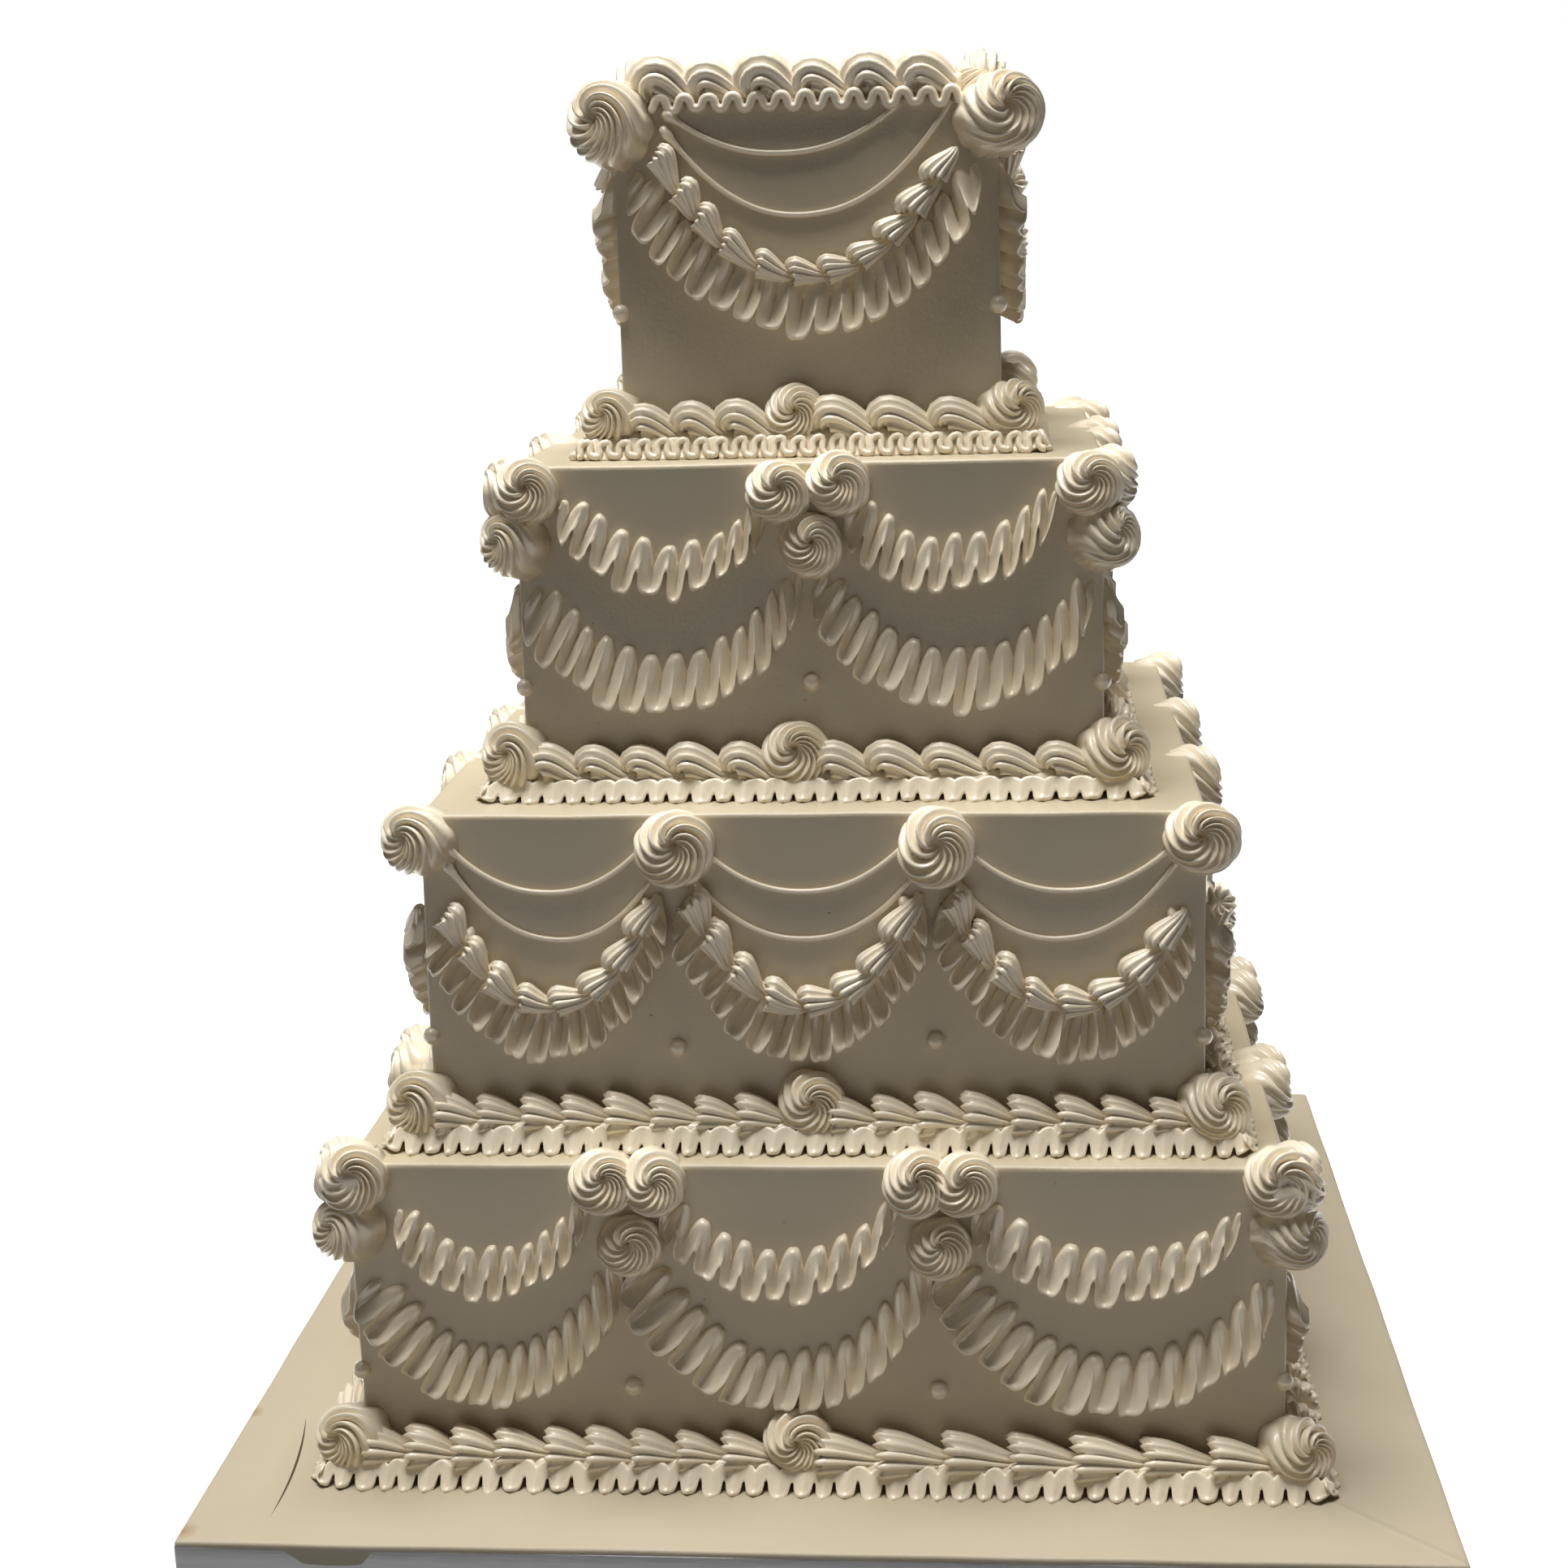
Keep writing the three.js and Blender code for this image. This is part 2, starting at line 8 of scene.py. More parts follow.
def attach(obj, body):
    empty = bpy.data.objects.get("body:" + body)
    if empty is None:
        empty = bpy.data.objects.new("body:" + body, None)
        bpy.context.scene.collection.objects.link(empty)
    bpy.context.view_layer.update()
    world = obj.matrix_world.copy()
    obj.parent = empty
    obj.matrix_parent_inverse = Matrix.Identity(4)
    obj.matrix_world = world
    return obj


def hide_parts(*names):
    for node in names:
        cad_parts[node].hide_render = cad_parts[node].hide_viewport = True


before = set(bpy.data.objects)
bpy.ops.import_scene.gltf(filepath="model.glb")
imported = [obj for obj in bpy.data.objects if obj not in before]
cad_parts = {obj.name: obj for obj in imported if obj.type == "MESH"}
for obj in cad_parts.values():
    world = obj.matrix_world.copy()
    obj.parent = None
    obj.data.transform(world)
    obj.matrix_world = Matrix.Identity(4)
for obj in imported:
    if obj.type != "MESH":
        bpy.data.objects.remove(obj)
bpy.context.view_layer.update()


# ==========================================================
# Cake board
# Square drum of pressed board, covered on top with ivory icing that is creased along its mitred
# corners and has one hairline crack. A silver-grey ribbon is glued round the edge.

MM = 0.001
BOARD_WIDTH = 482.0
BOARD_TOP = 13.0
ICING_FOOT = 3.0
ICING_SHOULDER = 1.2
RIBBON_TOP = 10.8
BOARD_CLOUD = 111.111
BOARD_GRAIN = 2.38095
CRACK_MIDDLE = (-209.8, -182.0)
CRACK_HALF_LENGTH = 40.0
CRACK_HALF_WIDTH = 0.5
CRACK_SLANT = -3.9
CRACK_BEND = -2.9
CRACK_FLOOR = 10.0
CREASE_HALF_WIDTH = 3.5
CREASE_START = 190.0
WEAR_MARKS = {"middle_wear": (-240.5, -138.7, 5.5), "corner_wear": (-240.0, -233.0, 7.0)}
RIBBON_FIBRE = 16.6667
RIBBON_STRETCH = 14.0

# Sockets of a Mix node that mixes two colours.
FACTOR, FIRST, SECOND, MIXED = 0, 6, 7, 2


def linear(code):
    """Scene-linear colour of an sRGB hex code: each channel c becomes ((c + 0.055) / 1.055) ** 2.4,
    or c / 12.92 where it is dark."""
    channels = [int(code[i : i + 2], 16) / 255 for i in (1, 3, 5)]
    return (*[c / 12.92 if c <= 0.04045 else ((c + 0.055) / 1.055) ** 2.4 for c in channels], 1.0)


def pattern_scale(size):
    """Scale of a pattern in metres whose features are this many millimetres across."""
    return 1 / (size * MM)


def add_node(material, kind, settings=None, links=None):
    """Adds a shader node. A setting names an input, by name or number, or a property of the node. A
    link gives the output that feeds an input."""
    node = material.node_tree.nodes.new(f"ShaderNode{kind}")
    for name, value in (settings or {}).items():
        if isinstance(name, int) or name in node.inputs:
            node.inputs[name].default_value = value
        else:
            setattr(node, name, value)
    for name, source in (links or {}).items():
        material.node_tree.links.new(source, node.inputs[name])
    return node


def empty_material(name):
    """Material with no node in it."""
    material = bpy.data.materials.new(name)
    material.use_nodes = True
    material.node_tree.nodes.clear()
    return material


def add_surface(material, settings, colour=None, height=None, bump=None):
    """Gives a material its only shader, a Principled one with these settings, coloured by one output
    and raised by another."""
    links = {}
    if colour:
        raised = add_node(material, "Bump", bump, {"Height": height})
        links = {"Base Color": colour, "Normal": raised.outputs["Normal"]}
    shader = add_node(material, "BsdfPrincipled", settings, links)
    add_node(material, "OutputMaterial", links={"Surface": shader.outputs["BSDF"]})


def skin(rings, start, end):
    """Closed surfaces over rings of points that follow one another, one surface for each first
    index. Quads join each ring to the next, and fans close the first ring on the start point and
    the last ring on the end point. A surface with a negative volume has its rings turned round."""
    rings = np.array(rings, float)
    count, rows, cols, _ = rings.shape
    middle = rings.mean(axis=(1, 2), keepdims=True)
    here, ahead = rings[:, :-1] - middle, rings[:, 1:] - middle
    here_next, ahead_next = np.roll(here, -1, axis=2), np.roll(ahead, -1, axis=2)
    across = np.cross(ahead, ahead_next) + np.cross(ahead_next, here_next)
    volume = (here * across).sum(axis=(1, 2, 3))
    rings[volume < 0] = rings[volume < 0][:, :, ::-1]
    points = [rings.reshape(count, rows * cols, 3)]
    points += [np.reshape(tip, (count, 1, 3)) for tip in (start, end)]
    grid = np.arange(rows * cols).reshape(rows, cols)
    turned_grid = np.roll(grid, -1, axis=1)
    quads = np.stack([grid[:-1], grid[1:], turned_grid[1:], turned_grid[:-1]], axis=-1).reshape(-1, 4)
    tip = np.full(cols, rows * cols)
    first_fan = np.stack([tip, grid[0], turned_grid[0]], axis=-1)
    last_fan = np.stack([tip + 1, turned_grid[-1], grid[-1]], axis=-1)
    offset = (np.arange(count) * (rows * cols + 2))[:, None, None]
    fans = np.concatenate([first_fan, last_fan]) + offset
    return np.concatenate(points, axis=1).reshape(-1, 3), (quads + offset).reshape(-1, 4), fans.reshape(-1, 3)


def make_piece(name, skins, material, node):
    """One object from several closed surfaces, given in millimetres."""
    all_points, all_quads, all_fans = zip(*skins)
    totals = np.cumsum([0, *map(len, all_points)])
    points = np.concatenate(all_points)
    quads = np.concatenate([quads + total for quads, total in zip(all_quads, totals)])
    fans = np.concatenate([fans + total for fans, total in zip(all_fans, totals)])
    mesh = bpy.data.meshes.new(name)
    mesh.vertices.add(len(points))
    mesh.vertices.foreach_set("co", (points * MM).ravel())
    mesh.loops.add(quads.size + fans.size)
    mesh.loops.foreach_set("vertex_index", np.concatenate([quads.ravel(), fans.ravel()]))
    mesh.polygons.add(len(quads) + len(fans))
    starts = np.concatenate([np.arange(len(quads)) * 4, quads.size + np.arange(len(fans)) * 3])
    mesh.polygons.foreach_set("loop_start", starts)
    mesh.polygons.foreach_set("use_smooth", np.ones(len(starts), bool))
    mesh.update(calc_edges=True)
    mesh.materials.append(material)
    piece = bpy.data.objects.new(name, mesh)
    bpy.context.scene.collection.objects.link(piece)
    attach(piece, "root")
    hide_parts(node)


def slow_waves(points, wavelength, seed):
    """Gentle unevenness from -1 to 1: the mean of four sine waves that cross space in random
    directions, with lengths between 0.6 and 1.6 of the wavelength."""
    draw = np.random.default_rng(seed)
    total = np.zeros(points.shape[:-1])
    for _ in range(4):
        direction = draw.normal(size=3)
        direction *= 2 * math.pi / (np.linalg.norm(direction) * wavelength * draw.uniform(0.6, 1.6))
        total += np.sin(points @ direction + draw.uniform(0, 2 * math.pi))
    return total / 4


def square_block(width, profile, corner, along, waviness, seed):
    """Profile carried round a square. The outline is four straight sides, each with "along" points,
    joined by quarter circles of radius "corner". Each profile step is (inset, height): the outline
    shrunk towards the middle by the inset, lying at that height. The sides swell and sink by slow
    waves, which fade to nothing 40 mm in from the edge."""
    half = width / 2
    straight = (half - corner) * np.linspace(-1, 1, along)
    bend = np.linspace(0, math.pi / 2, 6)[1:-1]
    side_x = np.concatenate([straight, half - corner + corner * np.sin(bend)])
    side_y = np.concatenate([np.full(along, -half), -half + corner - corner * np.cos(bend)])
    sides = [(side_x, side_y), (-side_y, side_x), (-side_x, -side_y), (side_y, -side_x)]
    outline = np.concatenate([np.stack(side, axis=1) for side in sides])
    inset, height = np.array(profile, float).T[:, :, None]
    rings = np.empty((len(profile), len(outline), 3))
    rings[..., :2] = outline * (1 - inset / half)[..., None]
    rings[..., 2] = height
    near_edge = np.clip(1 - inset / 40, 0, 1)
    sway = waviness * slow_waves(rings, 90, seed) * near_edge
    outward = rings[..., :2] / np.abs(rings[..., :2]).max(axis=-1, keepdims=True)
    rings[..., :2] += outward * sway[..., None]
    above_foot = height > profile[0][1] + 2
    rings[..., 2] += 0.8 * waviness * slow_waves(rings, 60, seed + 1) * above_foot * near_edge
    return skin(rings[None], [0, 0, profile[0][1]], [0, 0, profile[-1][1]])


# Rolled sugar icing, dried matt: a broad soft sheen over two creams that drift in wide clouds. Its
# real grain is a quarter of a millimetre, drawn ten times coarser so that it shows.
board_icing = empty_material("rolled_ivory_board_icing")
board_place = add_node(board_icing, "TexCoord").outputs["Object"]
board_values = {}
for pattern, size, detail, roughness in (("cloud", BOARD_CLOUD, 4.0, 0.6), ("grain", BOARD_GRAIN, 3.0, 0.55)):
    settings = {"Scale": pattern_scale(size), "Detail": detail, "Roughness": roughness}
    noise = add_node(board_icing, "TexNoise", settings, {"Vector": board_place})
    board_values[pattern] = noise.outputs["Fac"]
to_mm = {"operation": "SCALE", "Scale": 1 / MM}
board_mm = add_node(board_icing, "VectorMath", to_mm, {"Vector": board_place})
board_axes = add_node(board_icing, "SeparateXYZ", links={0: board_mm.outputs[0]})
board_values |= zip("xyz", board_axes.outputs)

# Arithmetic on the place in millimetres. Each step is (result, operation, values), where a value is
# a number or the name of an earlier result.
board_steps = [
    # The hairline crack bends from one end to the other, and is widest in its middle.
    ("run", "SUBTRACT", "y", CRACK_MIDDLE[1]),
    ("run", "DIVIDE", "run", CRACK_HALF_LENGTH),
    ("run_squared", "MULTIPLY", "run", "run"),
    ("bend", "MULTIPLY", "run_squared", CRACK_BEND),
    ("line", "MULTIPLY_ADD", "run", CRACK_SLANT, "bend"),
    ("off_line", "SUBTRACT", "x", CRACK_MIDDLE[0]),
    ("off_line", "SUBTRACT", "off_line", "line"),
    ("off_line", "ABSOLUTE", "off_line"),
    ("half_width", "MULTIPLY_ADD", "run_squared", -CRACK_HALF_WIDTH, CRACK_HALF_WIDTH),
    ("crack", "LESS_THAN", "off_line", "half_width"),
    ("on_top", "GREATER_THAN", "z", CRACK_FLOOR),
    ("crack", "MULTIPLY", "crack", "on_top"),
    # The mitre crease runs along the diagonal from the cake's corner to the board's.
    ("crease", "ADD", "x", "y"),
    ("crease", "ABSOLUTE", "crease"),
    ("crease", "DIVIDE", "crease", CREASE_HALF_WIDTH),
    ("crease", "MINIMUM", "crease", 1.0),
    ("crease", "SUBTRACT", 1.0, "crease"),
    ("past_cake", "GREATER_THAN", "x", CREASE_START),
    ("crease", "MULTIPLY", "crease", "past_cake"),
]
# The icing is worn to brown card at two places of the left edge, most in the middle of each.
for mark, (mark_x, mark_y, mark_radius) in WEAR_MARKS.items():
    board_steps += [
        ("across", "SUBTRACT", "x", mark_x),
        ("across", "MULTIPLY", "across", "across"),
        ("along", "SUBTRACT", "y", mark_y),
        ("far", "MULTIPLY_ADD", "along", "along", "across"),
        ("far", "SQRT", "far"),
        ("far", "DIVIDE", "far", mark_radius),
        (mark, "SUBTRACT", 1.0, "far"),
    ]
board_steps += [
    ("wear", "MAXIMUM", *WEAR_MARKS),
    ("ragged", "MULTIPLY", "cloud", 1.7),
    ("wear", "MULTIPLY", "wear", "ragged"),
    # The crease stands up, and the crack is open.
    ("relief", "MULTIPLY", "grain", 0.25),
    ("relief", "MULTIPLY_ADD", "cloud", 1.6, "relief"),
    ("relief", "ADD", "relief", "crease"),
    ("relief", "MULTIPLY_ADD", "crack", -2.0, "relief"),
]
for result, operation, *values in board_steps:
    numbers = {i: value for i, value in enumerate(values) if not isinstance(value, str)}
    links = {i: board_values[value] for i, value in enumerate(values) if isinstance(value, str)}
    step = add_node(board_icing, "Math", {"operation": operation, **numbers}, links)
    board_values[result] = step.outputs[0]

creams = {"data_type": "RGBA", FIRST: linear("#beb49f"), SECOND: linear("#b1a68f")}
board_tone = add_node(board_icing, "Mix", creams, {FACTOR: board_values["cloud"]})
# Brown card shows where the icing is worn. The crack's dark colour is painted shade inside the open crack.
for cover, colour in (("wear", "#9c7650"), ("crack", "#4d4133")):
    links = {FACTOR: board_values[cover], FIRST: board_tone.outputs[MIXED]}
    board_tone = add_node(board_icing, "Mix", {"data_type": "RGBA", SECOND: linear(colour)}, links)
add_surface(
    board_icing,
    {"Roughness": 0.58, "Specular IOR Level": 0.35},
    board_tone.outputs[MIXED], board_values["relief"], {"Strength": 0.6, "Distance": 0.9 * MM},
)

# Woven satin ribbon with silvered thread: a dull metallic band whose fibres run round the board. The
# fibres are a tenth of a millimetre apart, and are drawn over a millimetre apart so that they show.
ribbon = empty_material("silver_grey_satin_ribbon")
ribbon_place = add_node(ribbon, "TexCoord").outputs["Object"]
squeeze = {"Scale": (1.0, 1.0, RIBBON_STRETCH)}
squeezed = add_node(ribbon, "Mapping", squeeze, {"Vector": ribbon_place}).outputs[0]
fibres = {"Scale": pattern_scale(RIBBON_FIBRE), "Detail": 5.0, "Roughness": 0.65}
weave = add_node(ribbon, "TexNoise", fibres, {"Vector": squeezed}).outputs["Fac"]
greys = {"data_type": "RGBA", FIRST: linear("#76777c"), SECOND: linear("#98989b")}
ribbon_tone = add_node(ribbon, "Mix", greys, {FACTOR: weave})
add_surface(
    ribbon,
    {"Metallic": 0.25, "Roughness": 0.42, "Specular IOR Level": 0.5},
    ribbon_tone.outputs[MIXED], weave, {"Strength": 0.4, "Distance": 0.4 * MM},
)

icing_profile = [(110, ICING_FOOT), (2, ICING_FOOT), (0.4, ICING_FOOT + 0.2)]
icing_profile += [(0.25, z) for z in (5.0, RIBBON_TOP, BOARD_TOP - ICING_SHOULDER)]
icing_profile += [(0.55, BOARD_TOP - 0.5), (1.2, BOARD_TOP - 0.08), (2.4, BOARD_TOP)]
icing_profile += [(inset, BOARD_TOP) for inset in (6, 14, 30, 60, 110, 180)]
ribbon_profile = [(60, 0.0), (2.0, 0.0), (0.5, 0.2), (0.1, 0.9), (0.0, 5.0), (0.0, RIBBON_TOP - 0.4)]
ribbon_profile += [(inset, RIBBON_TOP) for inset in (0.35, 1.2, 60)]
icing_block = square_block(BOARD_WIDTH, icing_profile, corner=1.6, along=61, waviness=0.35, seed=11)
ribbon_block = square_block(BOARD_WIDTH, ribbon_profile, corner=1.8, along=61, waviness=0.12, seed=13)
make_piece("board_top", [icing_block], board_icing, "board")
make_piece("board_ribbon", [ribbon_block], ribbon, "board")


# ==========================================================
# Iced tiers
# Four square cakes coated with smooth ivory buttercream, scraped flat by hand, with crisp edges that
# waver a little and small air pits. Icing pearls are pressed onto the walls and corners.


def named(headings, **rows):
    """Table whose rows hold their values under these headings."""
    return {name: dict(zip(headings.split(), row)) for name, row in rows.items()}


# Stops are the places where two bays of piping meet, each with the drop of the pearl under it.
TIERS = named(
    "width bottom top stops corner_pearl",
    bottom=(362, 13, 141, {-72: 92, 48: 92}, 87),
    lower=(304, 141, 273, {-53: 94.5, 48: 91.5}, 90),
    upper=(230, 273, 404, {0.5: 87}, 88),
    top=(152, 404, 543, {}, 82),
)
SIDES = ["front", "right", "back", "left"]
TIER_GAP = 0.3
# Steps of the profile round a tier's top edge, as (inset, rise).
TOP_EDGE = [(-0.15, -3.5), (-0.3, -2.0), (-0.15, -0.9), (0.45, -0.15), (1.3, 0.12), (2.6, 0.05), (5, -0.15)]
PEARL_RADIUS = 3.6
PEARL_REACH = 3.9
CREAM_CLOUD = 62.5
CREAM_GRAIN = 1.92308
BUBBLE_SPACING = 10.5263
# Size of an open bubble in shares of their spacing, and share of the bubbles that stay closed.
BUBBLE_SIZE = 0.07
CLOSED_BUBBLES = 0.72


def turned(points, side):
    """Turns points of the front wall about the upright axis, by a quarter turn for each side."""
    x, y, z = np.moveaxis(np.asarray(points, float), -1, 0)
    for _ in range(side):
        x, y = -y, x
    return np.stack([x, y, z], axis=-1)


def on_wall(points, tier, side):
    """Takes (place along a wall, distance out from it, height) to (x, y, z)."""
    along, out, height = np.moveaxis(np.asarray(points, float), -1, 0)
    return turned(np.stack([along, -tier["width"] / 2 - out, height], axis=-1), side)


def buttercream(name, light, dark, pits, grain, roughness, coat):
    """Whipped butter icing: a soft greasy sheen. Its tone drifts between two creams in soft clouds,
    the blade or the nozzle leaves a grain, finer in truth and drawn coarser so that it shows, and a
    few of the evenly spread air bubbles are open and leave pits."""
    material = empty_material(name)
    place = add_node(material, "TexCoord").outputs["Object"]
    patterns = []
    for size, detail, rough in ((CREAM_CLOUD, 5.0, 0.62), (CREAM_GRAIN, 4.0, 0.6)):
        settings = {"Scale": pattern_scale(size), "Detail": detail, "Roughness": rough}
        noise = add_node(material, "TexNoise", settings, {"Vector": place})
        patterns.append(noise.outputs["Fac"])
    cloud, fine = patterns
    spacing = {"Scale": pattern_scale(BUBBLE_SPACING), "Randomness": 1.0}
    bubble = add_node(material, "TexVoronoi", spacing, {"Vector": place})
    near = {"From Min": 0.0, "From Max": BUBBLE_SIZE, "To Min": 1.0, "To Max": 0.0}
    hole = add_node(material, "MapRange", near, {"Value": bubble.outputs["Distance"]})
    chance = add_node(material, "SeparateColor", links={0: bubble.outputs["Color"]}).outputs[0]
    open_ones = {"operation": "GREATER_THAN", 1: CLOSED_BUBBLES}
    few = add_node(material, "Math", open_ones, {0: chance}).outputs[0]
    pit = add_node(material, "Math", {"operation": "MULTIPLY"}, {0: hole.outputs[0], 1: few})
    height = cloud
    for share, part in ((grain, fine), (-pits, pit.outputs[0])):
        settings = {"operation": "MULTIPLY_ADD", 1: share}
        height = add_node(material, "Math", settings, {0: part, 2: height}).outputs[0]
    creams = {"data_type": "RGBA", FIRST: linear(light), SECOND: linear(dark)}
    tone = add_node(material, "Mix", creams, {FACTOR: cloud})
    add_surface(
        material,
        {"Roughness": roughness, "Specular IOR Level": 0.5, "Coat Weight": coat, "Coat Roughness": 0.24},
        tone.outputs[MIXED], height, {"Strength": 0.7, "Distance": 0.6 * MM},
    )
    return material


def pearls(centre, out):
    """Beads of icing: quarter ellipse from the foot to the front, turned about the axis that points
    out of the wall, with a tiny tip where the nozzle left it."""
    out = np.asarray(out, float)
    up = np.array([0.0, 0.0, 1.0])
    side = np.cross(out, up)
    climb = np.linspace(0, math.pi / 2, 8)[:-1]
    share = np.concatenate([[0.75], np.cos(climb) ** 0.8])[:, None, None]
    rise = np.concatenate([[-0.5], np.sin(climb) ** 0.9])[:, None, None]
    turn = np.linspace(0, 2 * math.pi, 21)[:-1, None]
    spokes = np.cos(turn) * side[:, None] + np.sin(turn) * up
    rings = centre[:, None, None] + PEARL_RADIUS * share * spokes[:, None]
    rings = rings + PEARL_REACH * rise * out[:, None, None]
    return skin(rings, centre - 0.6 * out, centre + 1.12 * PEARL_REACH * out)


# Scraped smooth with a steel blade: the tone of the walls, matt, with pits.
smooth_buttercream = buttercream(
    "scraped_ivory_buttercream", "#cfc3aa", "#c4b79b", pits=0.8, grain=0.35, roughness=0.44, coat=0.0
)
# Pressed through a nozzle and then left alone: glossier on its ridges. It is the walls' buttercream, and
# its lighter creams are painted light, for the light the piping catches on its ridges and through its body.
piped_buttercream_painted_light = buttercream(
    "star_piped_ivory_buttercream", "#fdf3dd", "#f7ead2", pits=0.25, grain=0.3, roughness=0.33, coat=0.4
)


def make_piping(name, shapes, tier, side, node):
    """One piece of piped icing, from shapes (rings, start, end) that are worked out on the front wall
    and carried to their own."""
    skins = [skin(*[on_wall(part, tier, side) for part in shape]) for shape in shapes]
    make_piece(name, skins, piped_buttercream_painted_light, node)


for number, (name, tier) in enumerate(TIERS.items()):
    half, low, top = tier["width"] / 2, tier["bottom"] + TIER_GAP, tier["top"]
    profile = [(50, low), (4, low), (0.6, low + 0.6)]
    profile += [(0.0, z) for z in np.linspace(low + 4, top - 6, 22)]
    profile += [(inset, top + rise) for inset, rise in TOP_EDGE]
    profile += [(inset, top - 0.2) for inset in (9, 15, 24, 38, 56, 75) if inset < half - 4]
    body = square_block(tier["width"], profile, corner=1.5, along=57, waviness=0.45, seed=21 + number)
    pearl_places = [[along, 0.0, top - drop] for along, drop in tier["stops"].items()]
    pearl_places.append([half - 1.0, -1.0, top - tier["corner_pearl"]])
    pearl_ways = [[0.0, -1.0, 0.0]] * len(tier["stops"]) + [[0.5**0.5, -(0.5**0.5), 0.0]]
    beads = [pearls(on_wall(pearl_places, tier, side), turned(pearl_ways, side)) for side in range(4)]
    make_piece(f"{name}_iced_tier", [body], smooth_buttercream, f"{name}_tier")
    make_piece(f"{name}_pearls", beads, piped_buttercream_painted_light, f"{name}_tier")


# ==========================================================
# Corner rosettes
# Swirls of stiff buttercream, turned by hand with an open star nozzle round each tier's upper corners:
# single ones on the lower tier and astride the top tier's corners, groups of three on the others.

CORNERS = ["front_right", "back_right", "back_left", "front_left"]
ROSETTE_TILT = 17
ROSETTE_RIDGES = 10
RIDGE_COLUMNS = 7
ROSETTE_ROWS = 25
ROSETTE_ROOT = 7.0
# Share of the way in from the foot at which a rosette is highest.
CREST = 0.66


def facing(degrees):
    """Axes of a rosette, turned this far from its wall's way out towards the next, and tilted up."""
    turn, tilt = math.radians(degrees), math.radians(ROSETTE_TILT)
    level_out, height = np.array([math.sin(turn), math.cos(turn), 0]), np.array([0, 0, 1.0])
    return {
        "right": np.array([math.cos(turn), -math.sin(turn), 0]),
        "up": height * math.cos(tilt) - level_out * math.sin(tilt),
        "out": level_out * math.cos(tilt) + height * math.sin(tilt),
    }


ON_FRONT, ON_CORNER, ON_NEXT = facing(0), facing(45), facing(90)
# Large rosettes astride a corner. The two at the front are turned towards the front.
TOWARDS_FRONT = [facing(27), ON_CORNER, ON_CORNER, facing(60)]
ON_TOP = {"right": (1, 0, 0), "up": (0, -1, 0), "out": (0, 0, 1)}
# Each rosette is (axes, place along from the corner, out, drop, radius, depth).
CORNER_GROUPS = {
    "bottom": [
        (ON_FRONT, -3, 0, 5.5, 13.8, 13),
        (ON_NEXT, 0, -3, 5.5, 13.6, 13),
        (ON_CORNER, 0, 0, 27, 12.8, 13),
    ],
    "lower": [(ON_FRONT, -2.3, 0, 10.5, 14, 13.5)],
    "upper": [
        (ON_FRONT, -5.5, 0, 11, 12.8, 13),
        (ON_NEXT, 0, -5.5, 10, 12.6, 13),
        (ON_CORNER, 0, 0, 31, 12.6, 13),
    ],
    "top": [(ON_CORNER, 0.5, 0.5, 9, 16, 14.5), (ON_TOP, -8.5, -8.5, 0, 8.5, 10)],
}


